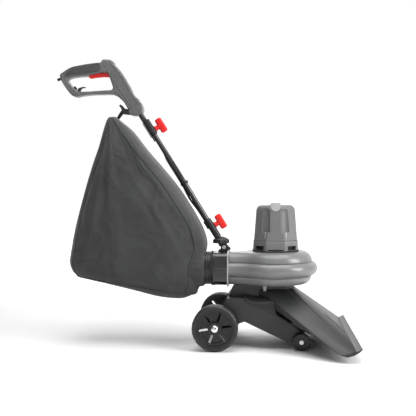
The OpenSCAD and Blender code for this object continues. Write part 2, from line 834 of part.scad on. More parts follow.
// soft cover zone along the top of the hand grip
module cover_zone() {
    across(-grip_w, grip_w) intersection() {
        difference() {
            grip_outline();
            offset(delta = -4) grip_outline();
        }
        polygon([[-290, 150], [-262, 140], [-160, 171], [-141, 172], [-146, 215], [-290, 215]]);
    }
}

trigger_pivot = [-114, 146];

module trigger_slot() {
    across(-7, 7) polygon([[-198, 136], [-108, 128], [-108, 152], [-112, 168], [-198, 162]]);
}

module grip_half(side) {
    at_grip() difference() {
        grip_body();
        grip_hollow();
        translate([-400, side > 0 ? -100 + 0.1 : -0.1, -50]) cube([500, 100, 300]);
        trigger_slot();
        cover_zone();
        rotate([0, -lean, 0]) translate([0, 0, -30]) cylinder(r = upper_tube_d / 2 + fit, h = 79);
        button_slot();
        gland_slot();
        across(-6.3, 6.3) hook_outline();
        across(-5.3, 5.3) cord_hook_outline();
        y_rod(trigger_pivot.x, trigger_pivot.y, 2.5 + fit, -grip_w / 2 + 2, grip_w / 2 - 2);
        for (p = screw_places) {
            y_rod(p.x, p.y, 1.9, -grip_w / 2 + 3, grip_w / 2 + 1);
            y_rod(p.x, p.y, 3.8, grip_w / 2 - 5, grip_w / 2 + 1);
        }
    }
}

// screws through the left shell into the right one
screw_places = [[-62, 82], [-98, 168], [-222, 160], [-257, 84]];

module grip_left() color("#6f7275") grip_half(1);
module grip_right() color("#6f7275") grip_half(-1);

module grip_cover() color("#55585b") at_grip() intersection() {
    grip_body();
    cover_zone();
}

// curved trigger with two pivot stubs
module trigger() color("#e8281f") at_grip() {
    across(-6.5, 6.5) polygon(smooth([[-193, 141], [-187, 132.5], [-166, 135], [-137, 137.5],
        [-117, 137], [-110, 142], [-114, 152], [-137, 154], [-165, 151], [-182, 147]], 3));
    y_rod(trigger_pivot.x, trigger_pivot.y, 2.5, -grip_w / 2 + 2.4, grip_w / 2 - 2.4);
}

button_at = [-245, 97];     // on the rear strut's inner face
button_turn = 42;           // direction it stands out, from level

module along_button() {
    translate([button_at.x, 0, button_at.y]) rotate([0, -button_turn, 0]) children();
}

module button_slot() {
    along_button() translate([-8, -5.3, -6.3]) cube([20, 10.6, 12.6]);
}

module lock_button() color("#1d1e20") at_grip() along_button() {
    translate([-2.6, -5, -6]) cube([8, 10, 12]);
}

module gland_slot() {
    translate([-296, 0, 134]) rotate([0, -110, 0]) cylinder(r = 5, h = 40, center = true);
}

// gland where the supply cord would enter
module cord_gland() color("#232527") at_grip() translate([-296, 0, 134]) rotate([0, -110, 0])
    difference() {
        union() {
            cylinder(r = 5 - fit, h = 34, center = true);
            for (z = [9 : 3 : 14]) translate([0, 0, z]) cylinder(r = 5.8, h = 1.6);
        }
        cylinder(r = 3.5, h = 60, center = true);
    }

module cord_hook_outline() {
    polygon([[-237, 79], [-236, 90], [-231, 97.5], [-218, 101], [-206, 101.6], [-205, 97.8],
        [-216, 96.8], [-222, 93], [-224, 86], [-223, 79]]);
}

// hook that holds the supply cord's loop
module cord_hook() color("#33363a") at_grip() across(-5.2, 5.2) cord_hook_outline();

module hook_outline() {
    polygon([[-36, 2], [-38, -4], [-56, -2], [-66, 0], [-69, 12], [-72, 21], [-79, 30], [-75, 36],
        [-67, 31], [-61, 24], [-56, 19], [-46, 18]]);
}

// open hook that carries the bag's strap
module bag_hook() color("#4a4d50") at_grip() across(-5.9, 5.9) hook_outline();

module grip_switch() color("#2b2d2f") at_grip() across(-15.9, 15.9)
    polygon([[-176, 163], [-150, 166], [-150, 179], [-176, 176]]);

module grip_screws() color("silver") at_grip() for (p = screw_places) {
    y_rod(p.x, p.y, 1.8, -grip_w / 2 + 4, grip_w / 2 - 5);
    y_rod(p.x, p.y, 3.7, grip_w / 2 - 5, grip_w / 2 - 2.6);
}

chassis();
nozzle_hood();
front_lip();
hood_badge();
main_axle();
axle_caps();
wheel_rim_left();
wheel_rim_right();
tyre_left();
tyre_right();
front_wheel_left();
front_wheel_right();
front_wheel_bolts();
housing_clips();
inlet_ring();
fan_housing_lower();
fan_housing_upper();
impeller();
mulching_blade();
blade_nut();
motor_shaft();
armature();
commutator();
stator();
brush_holders();
bearings();
motor_plate();
cooling_fan();
motor_base();
motor_cover();
cover_strap();
cover_screws();
outlet_flange();
outlet_duct();
outlet_ring();
bag_collar();
bag();
bag_strap();
foot_bracket();
foot_bolt();
pivot_dome();
tube_socket();
lower_tube();
lead_clip();
power_lead();
clamp_bracket();
lower_knob();
upper_knob();
upper_tube();
tube_plug();
grip_left();
grip_right();
grip_cover();
cord_gland();
cord_hook();
bag_hook();
trigger();
lock_button();
grip_switch();
grip_screws();
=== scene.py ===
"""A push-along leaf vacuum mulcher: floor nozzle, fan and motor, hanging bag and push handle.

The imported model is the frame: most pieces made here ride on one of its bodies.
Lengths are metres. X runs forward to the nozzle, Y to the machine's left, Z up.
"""

import math

import bmesh
import bpy
from mathutils import Matrix, Vector, noise
from mathutils.bvhtree import BVHTree


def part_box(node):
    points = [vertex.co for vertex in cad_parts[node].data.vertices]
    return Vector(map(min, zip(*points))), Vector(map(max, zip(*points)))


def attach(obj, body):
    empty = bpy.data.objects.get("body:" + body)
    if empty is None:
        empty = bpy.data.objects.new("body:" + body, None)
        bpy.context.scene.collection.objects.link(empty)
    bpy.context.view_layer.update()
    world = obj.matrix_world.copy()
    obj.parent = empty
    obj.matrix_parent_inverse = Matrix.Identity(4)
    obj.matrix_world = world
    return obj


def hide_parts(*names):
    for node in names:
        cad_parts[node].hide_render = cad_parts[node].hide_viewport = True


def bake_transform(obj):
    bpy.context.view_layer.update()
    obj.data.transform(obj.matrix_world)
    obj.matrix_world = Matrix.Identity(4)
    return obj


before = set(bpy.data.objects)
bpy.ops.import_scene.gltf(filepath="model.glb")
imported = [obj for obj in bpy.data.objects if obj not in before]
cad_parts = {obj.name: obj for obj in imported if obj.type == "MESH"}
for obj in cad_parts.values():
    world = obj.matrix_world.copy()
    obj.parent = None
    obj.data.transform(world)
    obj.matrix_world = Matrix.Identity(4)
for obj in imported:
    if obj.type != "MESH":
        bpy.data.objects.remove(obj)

scene = bpy.context.scene
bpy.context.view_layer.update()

# ---- camera, floor and lights ----

camera_data = bpy.data.cameras.new("side_camera")
camera_data.lens = 57.8
camera_data.shift_x = -0.077
camera_data.shift_y = -0.046
camera = bpy.data.objects.new("side_camera", camera_data)
camera.location = (0.2555, -2.45, 0.562)
camera.rotation_euler = (math.radians(90), 0, math.radians(2.75))
scene.collection.objects.link(camera)
scene.camera = camera


def softbox(name, place, target, size, power):
    """A rectangular studio light aimed at a target."""
    data = bpy.data.lights.new(name, "AREA")
    data.shape = "RECTANGLE"
    data.size, data.size_y = size
    data.energy = power
    light = bpy.data.objects.new(name, data)
    light.location = place
    light.rotation_euler = (Vector(target) - Vector(place)).to_track_quat("-Z", "Y").to_euler()
    scene.collection.objects.link(light)


softbox("overhead_softbox", (0.25, -0.3, 2.6), (0.1, 0, 0.3), (2.4, 2.0), 58)
softbox("right_softbox", (2.3, -1.0, 1.3), (0.2, 0, 0.35), (1.2, 1.6), 62)
softbox("front_fill", (-0.7, -2.9, 1.5), (0, 0, 0.5), (2.4, 1.8), 9)
softbox("back_fill", (-0.6, 2.6, 1.8), (0, 0, 0.5), (2.4, 1.8), 22)

world = bpy.data.worlds.new("pale_studio")
world.use_nodes = True
sky_nodes, sky_links = world.node_tree.nodes, world.node_tree.links
direction = sky_nodes.new("ShaderNodeTexCoord")
direction.label = "direction round the studio"
direction.location = (-700, 0)
split = sky_nodes.new("ShaderNodeSeparateXYZ")
split.label = "from the front to the back wall"
split.location = (-480, 0)
sky_links.new(direction.outputs["Generated"], split.inputs["Vector"])
walls = sky_nodes.new("ShaderNodeValToRGB")
walls.label = "dark front, white back wall"
walls.location = (-260, 0)
walls.color_ramp.elements[0].position = 0.25
walls.color_ramp.elements[0].color = (0.2, 0.2, 0.2, 1)
walls.color_ramp.elements[1].position = 0.8
walls.color_ramp.elements[1].color = (1, 1, 1, 1)
sky_links.new(split.outputs["Y"], walls.inputs["Fac"])
sky_links.new(walls.outputs["Color"], sky_nodes["Background"].inputs["Color"])
sky_nodes["Background"].inputs["Strength"].default_value = 1.0
scene.world = world
scene.view_settings.view_transform = "Standard"

# ---- materials ----


def new_material(name):
    """An empty material with its shader and output in place."""
    material = bpy.data.materials.new(name)
    material.use_nodes = True
    material.node_tree.nodes.clear()
    return material, material.node_tree.nodes, material.node_tree.links


def group_nodes(nodes, title, members):
    """A titled frame round nodes that make one effect."""
    box = nodes.new("NodeFrame")
    box.label = title
    for member in members:
        member.parent = box


def moulded_plastic(name, colour, roughness, grain=0.0007, depth=0.25, rubbed=0.35, coat=0.0):
    """Injection moulded plastic: fine grain, slow colour drift, handling marks, rubbed edges."""
    material, nodes, links = new_material(name)
    place = nodes.new("ShaderNodeTexCoord")
    place.label = "place on the moulding"
    place.location = (-1100, 0)

    drift = nodes.new("ShaderNodeTexNoise")
    drift.label = "slow drift of the pigment"
    drift.location = (-850, 300)
    drift.inputs["Scale"].default_value = 14
    drift.inputs["Detail"].default_value = 3
    links.new(place.outputs["Object"], drift.inputs["Vector"])
    shade = nodes.new("ShaderNodeValToRGB")
    shade.label = "darker to lighter pigment"
    shade.location = (-620, 300)
    shade.color_ramp.elements[0].position = 0.32
    shade.color_ramp.elements[1].position = 0.7
    shade.color_ramp.elements[0].color = (*(0.94 * c for c in colour), 1)
    shade.color_ramp.elements[1].color = (*(1.06 * c for c in colour), 1)
    links.new(drift.outputs["Fac"], shade.inputs["Fac"])

    edges = nodes.new("ShaderNodeNewGeometry")
    edges.label = "where the edges stand out"
    edges.location = (-850, 560)
    worn = nodes.new("ShaderNodeMapRange")
    worn.label = "only the sharpest edges"
    worn.location = (-620, 560)
    worn.inputs["From Min"].default_value = 0.52
    worn.inputs["From Max"].default_value = 0.64
    worn.inputs["To Max"].default_value = rubbed
    links.new(edges.outputs["Pointiness"], worn.inputs["Value"])
    rub = nodes.new("ShaderNodeMix")
    rub.label = "rubbed paler at the edges"
    rub.location = (-340, 400)
    rub.data_type = "RGBA"
    rub.inputs["B"].default_value = (*(min(1, 1.6 * c + 0.04) for c in colour), 1)
    links.new(worn.outputs["Result"], rub.inputs["Factor"])
    links.new(shade.outputs["Color"], rub.inputs["A"])

    marks = nodes.new("ShaderNodeTexNoise")
    marks.label = "marks of handling"
    marks.location = (-850, 0)
    marks.inputs["Scale"].default_value = 45
    marks.inputs["Detail"].default_value = 5
    links.new(place.outputs["Object"], marks.inputs["Vector"])
    dull = nodes.new("ShaderNodeMapRange")
    dull.label = "shinier to duller"
    dull.location = (-620, 0)
    dull.inputs["From Min"].default_value = 0.3
    dull.inputs["From Max"].default_value = 0.7
    dull.inputs["To Min"].default_value = roughness - 0.02
    dull.inputs["To Max"].default_value = roughness + 0.03
    links.new(marks.outputs["Fac"], dull.inputs["Value"])

    pits = nodes.new("ShaderNodeTexVoronoi")
    pits.label = "spark-eroded grain of the mould"
    pits.location = (-850, -300)
    pits.inputs["Scale"].default_value = 1 / grain
    links.new(place.outputs["Object"], pits.inputs["Vector"])
    relief = nodes.new("ShaderNodeBump")
    relief.label = "grain stands up a hair"
    relief.location = (-620, -300)
    relief.inputs["Strength"].default_value = depth
    relief.inputs["Distance"].default_value = 0.0003
    links.new(pits.outputs["Distance"], relief.inputs["Height"])

    shader = nodes.new("ShaderNodeBsdfPrincipled")
    shader.label = "moulded plastic"
    shader.location = (0, 0)
    shader.inputs["IOR"].default_value = 1.49
    shader.inputs["Coat Weight"].default_value = coat
    shader.inputs["Coat Roughness"].default_value = 0.12
    links.new(rub.outputs["Result"], shader.inputs["Base Color"])
    links.new(dull.outputs["Result"], shader.inputs["Roughness"])
    links.new(relief.outputs["Normal"], shader.inputs["Normal"])
    output = nodes.new("ShaderNodeOutputMaterial")
    output.label = "surface"
    output.location = (320, 0)
    links.new(shader.outputs["BSDF"], output.inputs["Surface"])
    group_nodes(nodes, "Pigment", (drift, shade))
    group_nodes(nodes, "Rubbed edges", (edges, worn, rub))
    group_nodes(nodes, "Handling", (marks, dull))
    group_nodes(nodes, "Grain", (pits, relief))
    return material


def woven_cloth(name, colour, thread, crease=0.5, sheen=0.25):
    """Plain woven cloth: two thread directions, slubs in the yarn, broad creases."""
    material, nodes, links = new_material(name)
    place = nodes.new("ShaderNodeTexCoord")
    place.label = "place on the cloth"
    place.location = (-1300, 0)

    warp = nodes.new("ShaderNodeTexWave")
    warp.label = "warp threads"
    warp.location = (-1050, 300)
    warp.bands_direction = "X"
    warp.inputs["Scale"].default_value = 0.314 / thread
    warp.inputs["Distortion"].default_value = 0.6
    warp.inputs["Detail Scale"].default_value = 2
    links.new(place.outputs["Object"], warp.inputs["Vector"])
    weft = nodes.new("ShaderNodeTexWave")
    weft.label = "weft threads"
    weft.location = (-1050, 0)
    weft.bands_direction = "Z"
    weft.inputs["Scale"].default_value = 0.314 / thread
    weft.inputs["Distortion"].default_value = 0.6
    weft.inputs["Detail Scale"].default_value = 2
    links.new(place.outputs["Object"], weft.inputs["Vector"])
    crossing = nodes.new("ShaderNodeMath")
    crossing.label = "threads over and under"
    crossing.location = (-820, 150)
    crossing.operation = "MULTIPLY"
    links.new(warp.outputs["Fac"], crossing.inputs[0])
    links.new(weft.outputs["Fac"], crossing.inputs[1])

    slub = nodes.new("ShaderNodeTexNoise")
    slub.label = "slubs in the yarn"
    slub.location = (-1050, -300)
    slub.inputs["Scale"].default_value = 220
    slub.inputs["Detail"].default_value = 4
    links.new(place.outputs["Object"], slub.inputs["Vector"])
    fade = nodes.new("ShaderNodeTexNoise")
    fade.label = "handled and dusty patches"
    fade.location = (-1050, 600)
    fade.inputs["Scale"].default_value = 7
    fade.inputs["Detail"].default_value = 6
    fade.inputs["Roughness"].default_value = 0.62
    links.new(place.outputs["Object"], fade.inputs["Vector"])
    dye = nodes.new("ShaderNodeValToRGB")
    dye.label = "depth of the dye"
    dye.location = (-820, 600)
    dye.color_ramp.elements[0].position = 0.36
    dye.color_ramp.elements[1].position = 0.66
    dye.color_ramp.elements[0].color = (*(0.84 * c for c in colour), 1)
    dye.color_ramp.elements[1].color = (*(1.16 * c for c in colour), 1)
    links.new(fade.outputs["Fac"], dye.inputs["Fac"])
    thread_shade = nodes.new("ShaderNodeMapRange")
    thread_shade.label = "shade between the threads"
    thread_shade.location = (-600, 300)
    thread_shade.inputs["To Min"].default_value = 0.82
    thread_shade.inputs["To Max"].default_value = 1.2
    links.new(crossing.outputs["Value"], thread_shade.inputs["Value"])
    yarn = nodes.new("ShaderNodeVectorMath")
    yarn.label = "yarn colour"
    yarn.location = (-340, 450)
    yarn.operation = "SCALE"
    links.new(dye.outputs["Color"], yarn.inputs["Vector"])
    links.new(thread_shade.outputs["Result"], yarn.inputs["Scale"])

    creases = nodes.new("ShaderNodeTexNoise")
    creases.label = "soft creases from folding"
    creases.location = (-820, -600)
    creases.inputs["Scale"].default_value = 16
    creases.inputs["Detail"].default_value = 4
    creases.inputs["Distortion"].default_value = 1.2
    links.new(place.outputs["Object"], creases.inputs["Vector"])
    crease_relief = nodes.new("ShaderNodeBump")
    crease_relief.label = "creases stand up"
    crease_relief.location = (-600, -600)
    crease_relief.inputs["Strength"].default_value = crease
    crease_relief.inputs["Distance"].default_value = 0.006
    links.new(creases.outputs["Fac"], crease_relief.inputs["Height"])
    weave_relief = nodes.new("ShaderNodeBump")
    weave_relief.label = "weave stands up"
    weave_relief.location = (-340, -300)
    weave_relief.inputs["Strength"].default_value = 0.5
    weave_relief.inputs["Distance"].default_value = 0.0004
    links.new(crossing.outputs["Value"], weave_relief.inputs["Height"])
    links.new(crease_relief.outputs["Normal"], weave_relief.inputs["Normal"])
    fuzz = nodes.new("ShaderNodeMapRange")
    fuzz.label = "fuzzier where the yarn is thick"
    fuzz.location = (-340, 0)
    fuzz.inputs["To Min"].default_value = 0.68
    fuzz.inputs["To Max"].default_value = 0.92
    links.new(slub.outputs["Fac"], fuzz.inputs["Value"])

    shader = nodes.new("ShaderNodeBsdfPrincipled")
    shader.label = "woven cloth"
    shader.location = (0, 0)
    shader.inputs["Sheen Weight"].default_value = sheen
    shader.inputs["Sheen Roughness"].default_value = 0.45
    shader.inputs["Specular IOR Level"].default_value = 0.28
    links.new(yarn.outputs["Vector"], shader.inputs["Base Color"])
    links.new(fuzz.outputs["Result"], shader.inputs["Roughness"])
    links.new(weave_relief.outputs["Normal"], shader.inputs["Normal"])
    output = nodes.new("ShaderNodeOutputMaterial")
    output.label = "surface"
    output.location = (320, 0)
    links.new(shader.outputs["BSDF"], output.inputs["Surface"])
    group_nodes(nodes, "Threads", (warp, weft, crossing, thread_shade, weave_relief))
    group_nodes(nodes, "Dye", (fade, dye, yarn))
    group_nodes(nodes, "Creases", (creases, crease_relief))
    group_nodes(nodes, "Yarn fuzz", (slub, fuzz))
    return material


def bright_metal(name, colour, roughness, stretch, depth=0.2):
    """Drawn, turned or polished metal: fine lines along one direction and a patchy polish."""
    material, nodes, links = new_material(name)
    place = nodes.new("ShaderNodeTexCoord")
    place.label = "place on the metal"
    place.location = (-1100, 0)
    along = nodes.new("ShaderNodeMapping")
    along.label = "lines run one way"
    along.location = (-900, 0)
    along.inputs["Scale"].default_value = stretch
    links.new(place.outputs["Object"], along.inputs["Vector"])
    lines = nodes.new("ShaderNodeTexNoise")
    lines.label = "tool lines"
    lines.location = (-700, -150)
    lines.inputs["Scale"].default_value = 60
    lines.inputs["Detail"].default_value = 6
    links.new(along.outputs["Vector"], lines.inputs["Vector"])
    tarnish = nodes.new("ShaderNodeTexNoise")
    tarnish.label = "faint tarnish"
    tarnish.location = (-700, 200)
    tarnish.inputs["Scale"].default_value = 35
    tarnish.inputs["Detail"].default_value = 4
    links.new(place.outputs["Object"], tarnish.inputs["Vector"])
    tone = nodes.new("ShaderNodeValToRGB")
    tone.label = "bright to tarnished"
    tone.location = (-450, 200)
    tone.color_ramp.elements[0].color = (*(0.8 * c for c in colour), 1)
    tone.color_ramp.elements[1].color = (*colour, 1)
    tone.color_ramp.elements[1].position = 0.6
    links.new(tarnish.outputs["Fac"], tone.inputs["Fac"])
    polish = nodes.new("ShaderNodeMapRange")
    polish.label = "patchy polish"
    polish.location = (-450, 0)
    polish.inputs["To Min"].default_value = max(0.02, roughness - 0.08)
    polish.inputs["To Max"].default_value = roughness + 0.1
    links.new(tarnish.outputs["Fac"], polish.inputs["Value"])
    relief = nodes.new("ShaderNodeBump")
    relief.label = "lines cut in"
    relief.location = (-450, -250)
    relief.inputs["Strength"].default_value = depth
    relief.inputs["Distance"].default_value = 0.0002
    links.new(lines.outputs["Fac"], relief.inputs["Height"])
    shader = nodes.new("ShaderNodeBsdfPrincipled")
    shader.label = "bare metal"
    shader.location = (0, 0)
    shader.inputs["Metallic"].default_value = 1
    links.new(tone.outputs["Color"], shader.inputs["Base Color"])
    links.new(polish.outputs["Result"], shader.inputs["Roughness"])
    links.new(relief.outputs["Normal"], shader.inputs["Normal"])
    output = nodes.new("ShaderNodeOutputMaterial")
    output.label = "surface"
    output.location = (320, 0)
    links.new(shader.outputs["BSDF"], output.inputs["Surface"])
    group_nodes(nodes, "Tool lines", (along, lines, relief))
    group_nodes(nodes, "Tarnish", (tarnish, tone, polish))
    return material


def pale_floor():
    """A plain matt studio floor with the faintest mottle, glowing more the further it lies behind the
    object: painted light.
    """
    material, nodes, links = new_material("studio_floor")
    place = nodes.new("ShaderNodeTexCoord")
    place.label = "place on the floor"
    place.location = (-700, 0)
    mottle = nodes.new("ShaderNodeTexNoise")
    mottle.label = "faint mottle"
    mottle.location = (-500, 0)
    mottle.inputs["Scale"].default_value = 2
    links.new(place.outputs["Object"], mottle.inputs["Vector"])
    tone = nodes.new("ShaderNodeValToRGB")
    tone.label = "two near whites"
    tone.location = (-300, 0)
    tone.color_ramp.elements[0].color = (0.90, 0.90, 0.90, 1)
    tone.color_ramp.elements[1].color = (0.93, 0.93, 0.93, 1)
    links.new(mottle.outputs["Fac"], tone.inputs["Fac"])
    shader = nodes.new("ShaderNodeBsdfPrincipled")
    shader.label = "matt floor"
    shader.location = (0, 0)
    shader.inputs["Roughness"].default_value = 0.9
    links.new(tone.outputs["Color"], shader.inputs["Base Color"])
    # painted glow: white emission that grows with the distance behind the object, standing in for light on a
    # back wall
    shader.inputs["Emission Color"].default_value = (1, 1, 1, 1)
    apart = nodes.new("ShaderNodeSeparateXYZ")
    apart.label = "distance behind the object"
    apart.location = (-500, -260)
    links.new(place.outputs["Object"], apart.inputs["Vector"])
    lit = nodes.new("ShaderNodeMapRange")
    lit.label = "painted glow of the floor, stronger further back"
    lit.location = (-300, -260)
    lit.inputs["From Min"].default_value = 0.6
    lit.inputs["From Max"].default_value = 3.2
    lit.inputs["To Max"].default_value = 0.9
    links.new(apart.outputs["Y"], lit.inputs["Value"])
    links.new(lit.outputs["Result"], shader.inputs["Emission Strength"])
    output = nodes.new("ShaderNodeOutputMaterial")
    output.label = "surface"
    output.location = (320, 0)
    links.new(shader.outputs["BSDF"], output.inputs["Surface"])
    group_nodes(nodes, "Mottle", (mottle, tone))
    group_nodes(nodes, "Painted glow", (apart, lit))
    return material


def grey(value, tint=0.0):
    """A near-neutral colour; tint leans it towards blue."""
    return (value, value * (1 + tint / 2), value * (1 + tint))


charcoal = moulded_plastic("charcoal_moulding", grey(0.016, 0.08), 0.40)
hood_black = moulded_plastic("hood_moulding", grey(0.014, 0.08), 0.38, rubbed=0.3)
lip_grey = moulded_plastic("lip_moulding", grey(0.026, 0.06), 0.38)
satin_black = moulded_plastic("satin_black_moulding", grey(0.009, 0.05), 0.36)
gloss_black = moulded_plastic("gloss_black_moulding", grey(0.006, 0.05), 0.2, depth=0.08, coat=0.6)
rim_black = moulded_plastic("rim_moulding", grey(0.006, 0.05), 0.34)
silver_grey = moulded_plastic(
    "silver_grey_moulding", grey(0.175, 0.02), 0.3, depth=0.06, rubbed=0.12, coat=0.2
)
motor_grey = moulded_plastic("motor_grey_moulding", grey(0.15, 0.02), 0.42, depth=0.12, rubbed=0.15)
light_grey = moulded_plastic("light_grey_moulding", grey(0.38, 0.02), 0.4, rubbed=0.2)
grip_grey = moulded_plastic("grip_grey_moulding", grey(0.115, 0.02), 0.36)
soft_cover = moulded_plastic(
    "soft_cover_rubber", grey(0.055, 0.02), 0.55, grain=0.0012, depth=0.4, rubbed=0.1
)
signal_red = moulded_plastic("signal_red_moulding", (0.78, 0.010, 0.008), 0.42, depth=0.12, rubbed=0.1)
tyre_rubber = moulded_plastic("tyre_rubber", grey(0.016, 0.03), 0.45, grain=0.001, depth=0.4, rubbed=0.5)
lead_rubber = moulded_plastic("lead_rubber", grey(0.014), 0.42, depth=0.1, rubbed=0.1)
tube_paint = moulded_plastic("tube_paint", grey(0.01, 0.04), 0.2, grain=0.002, depth=0.06, coat=0.8)
bag_cloth = woven_cloth("bag_cloth", grey(0.05, 0.04), 0.0011)
edge_tape = woven_cloth("edge_tape", grey(0.032, 0.04), 0.0008, crease=0.1)
webbing = woven_cloth("webbing", grey(0.014), 0.0009, crease=0.1, sheen=0.15)
drawn_steel = bright_metal("drawn_steel", grey(0.62), 0.28, (12, 1, 12))
polished_chrome = bright_metal("polished_chrome", grey(0.85), 0.1, (3, 3, 3), depth=0.04)
cast_aluminium = bright_metal("cast_aluminium", grey(0.55), 0.42, (4, 4, 4), depth=0.5)
copper_winding = bright_metal("copper_winding", (0.62, 0.26, 0.11), 0.3, (1, 1, 30), depth=0.8)
plain_brass = bright_metal("plain_brass", (0.72, 0.52, 0.22), 0.3, (1, 1, 12))
iron_stack = bright_metal("iron_stack", grey(0.2), 0.5, (1, 1, 40), depth=0.9)

floor_mesh = bpy.data.meshes.new("studio_floor")
floor_mesh.from_pydata([(-60, -60, 0), (60, -60, 0), (60, 60, 0), (-60, 60, 0)], [], [(0, 1, 2, 3)])
floor_mesh.materials.append(pale_floor())
floor = bpy.data.objects.new("studio_floor", floor_mesh)
scene.collection.objects.link(floor)

# ---- shape helpers ----


def catmull(a, b, c, d, t):
    """A point between b and c on a smooth line through a, b, c and d."""
    return [
        0.5 * (2 * q + (r - p) * t + (2 * p - 5 * q + 4 * r - s) * t * t + (3 * q - p - 3 * r + s) * t**3)
        for p, q, r, s in zip(a, b, c, d)
    ]


def smooth_loop(points, steps):
    """A smooth closed line through the points."""
    n = len(points)
    return [
        catmull(points[i - 1], points[i], points[(i + 1) % n], points[(i + 2) % n], j / steps)
        for i in range(n)
        for j in range(steps)
    ]


def smooth_path(points, steps):
    """A smooth open line through the points."""
    n = len(points)
    line = [
        catmull(points[max(i - 1, 0)], points[i], points[i + 1], points[min(i + 2, n - 1)], j / steps)
        for i in range(n - 1)
        for j in range(steps)
    ]
    return line + [list(points[-1])]


def skin(name, rings, closed=True, start_cap=True, end_cap=True):
    """A mesh piece through rings of points of equal number."""
    mesh = bpy.data.meshes.new(name)
    count = len(rings[0])
    faces = []
    for i in range(len(rings) - 1):
        for j in range(count if closed else count - 1):
            a, b = i * count + j, i * count + (j + 1) % count
            faces.append((a, b, b + count, a + count))
    if start_cap:
        faces.append(tuple(reversed(range(count))))
    if end_cap:
        faces.append(tuple(range((len(rings) - 1) * count, len(rings) * count)))
    mesh.from_pydata([tuple(p) for ring in rings for p in ring], [], faces)
    return tidy_mesh(bpy.data.objects.new(name, mesh))


def tidy_mesh(piece, sharp=38):
    """Outward normals, smooth shading and creases kept at sharp edges."""
    bm = bmesh.new()
    bm.from_mesh(piece.data)
    bmesh.ops.remove_doubles(bm, verts=bm.verts, dist=0.00002)
    bmesh.ops.recalc_face_normals(bm, faces=bm.faces)
    for face in bm.faces:
        face.smooth = True
    for edge in bm.edges:
        edge.smooth = len(edge.link_faces) == 2 and edge.calc_face_angle(0) < math.radians(sharp)
    bm.to_mesh(piece.data)
    bm.free()
    if piece.name not in scene.collection.objects:
        scene.collection.objects.link(piece)
    return piece


def surface_tree(mesh):
    """A mesh's faces, ready to be asked where a ray meets them."""
    return BVHTree.FromPolygons([v.co for v in mesh.vertices], [tuple(f.vertices) for f in mesh.polygons])


def revolve(name, profile, centre, axis="Z", steps=72):
    """A turned piece from a closed profile of (radius, height)."""
    turn = {"X": Matrix.Rotation(math.pi / 2, 3, "Y"), "Y": Matrix.Rotation(-math.pi / 2, 3, "X")}
    to_axis = turn.get(axis, Matrix.Identity(3))
    rings = []
    for k in range(steps):
        a = 2 * math.pi * k / steps
        ring = [to_axis @ Vector((r * math.cos(a), r * math.sin(a), h)) + Vector(centre) for r, h in profile]
        rings.append(ring)
    rings.append(rings[0])
    return skin(name, rings, True, False, False)


def swept_tube(name, points, radius, sides=16):
    """A round tube along a line of points, with flat ends."""
    line = [Vector(p) for p in points]
    rings = []
    side = None
    for i, p in enumerate(line):
        along = (line[min(i + 1, len(line) - 1)] - line[max(i - 1, 0)]).normalized()
        side = along.cross((0, 1, 0) if side is None else side.cross(along)).normalized()
        up = side.cross(along)
        turns = [2 * math.pi * k / sides for k in range(sides)]
        rings.append([p + radius * (math.cos(t) * side + math.sin(t) * up) for t in turns])
    return skin(name, rings)


def pressed(name, outlines, y0, y1, edge, rounds=4):
    """A flat moulding from X-Z outlines, between two Y planes, with rounded edges."""
    curve = bpy.data.curves.new(name, "CURVE")
    curve.dimensions = "2D"
    curve.fill_mode = "BOTH"
    curve.extrude = (y1 - y0) / 2 - edge
    curve.bevel_depth = edge
    curve.bevel_resolution = rounds
    curve.offset = -edge
    for outline in outlines:
        spline = curve.splines.new("POLY")
        spline.points.add(len(outline) - 1)
        for point, (x, z) in zip(spline.points, outline):
            point.co = (x, z, 0, 1)
        spline.use_cyclic_u = True
    shape = bpy.data.objects.new(name + "_outline", curve)
    scene.collection.objects.link(shape)
    mesh = bpy.data.meshes.new_from_object(shape.evaluated_get(bpy.context.evaluated_depsgraph_get()))
    bpy.data.objects.remove(shape)
    mesh.name = name
    upright = Matrix.Translation((0, (y0 + y1) / 2, 0)) @ Matrix.Rotation(math.pi / 2, 4, "X")
    mesh.transform(upright)
    return tidy_mesh(bpy.data.objects.new(name, mesh))


def softened(node, width, segments=2, sharp=30):
    """The frame's own shape of a node as a new piece, with its hard edges rounded over."""
    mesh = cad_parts[node].data.copy()
    mesh.materials.clear()
    piece = bpy.data.objects.new(node + "_piece", mesh)
    bm = bmesh.new()
    bm.from_mesh(mesh)
    bmesh.ops.remove_doubles(bm, verts=bm.verts, dist=0.00004)
    bmesh.ops.dissolve_limit(bm, angle_limit=math.radians(0.6), verts=bm.verts, edges=bm.edges)
    bm.to_mesh(mesh)
    bm.free()
    tidy_mesh(piece, sharp)
    rounding = piece.modifiers.new("rounded edges", "BEVEL")
    rounding.width = width
    rounding.segments = segments
    rounding.limit_method = "ANGLE"
    rounding.angle_limit = math.radians(sharp)
    rounding.use_clamp_overlap = node == "nozzle_hood"
    rounding.harden_normals = True
    return piece


def joined(name, parts):
    """Several shapes as one piece."""
    bm = bmesh.new()
    depsgraph = bpy.context.evaluated_depsgraph_get()
    for part in parts:
        shape = bpy.data.meshes.new_from_object(part.evaluated_get(depsgraph))
        shape.transform(part.matrix_world)
        bm.from_mesh(shape)
        bpy.data.objects.remove(part)
    mesh = bpy.data.meshes.new(name)
    bm.to_mesh(mesh)
    bm.free()
    mesh.materials.clear()
    return tidy_mesh(bpy.data.objects.new(name, mesh))


def fit_piece(piece, material, body, slot, *nodes):
    """Finish a piece: its material, the body it rides on and the CAD nodes it stands for."""
    piece.data.materials.clear()
    piece.data.materials.append(material)
    if body:
        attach(piece, body)
    if nodes:
        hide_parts(*nodes)
    return piece


# ---- places taken from the frame ----


def middle(node):
    """The centre of a node's box."""
    low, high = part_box(node)
    return (low + high) / 2


fan_centre = middle("impeller")
fan_low, fan_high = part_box("fan_housing_lower")
fan_radius = (fan_high.y - fan_low.y) / 2
duct = middle("bag_collar")
duct_face = fan_low.x

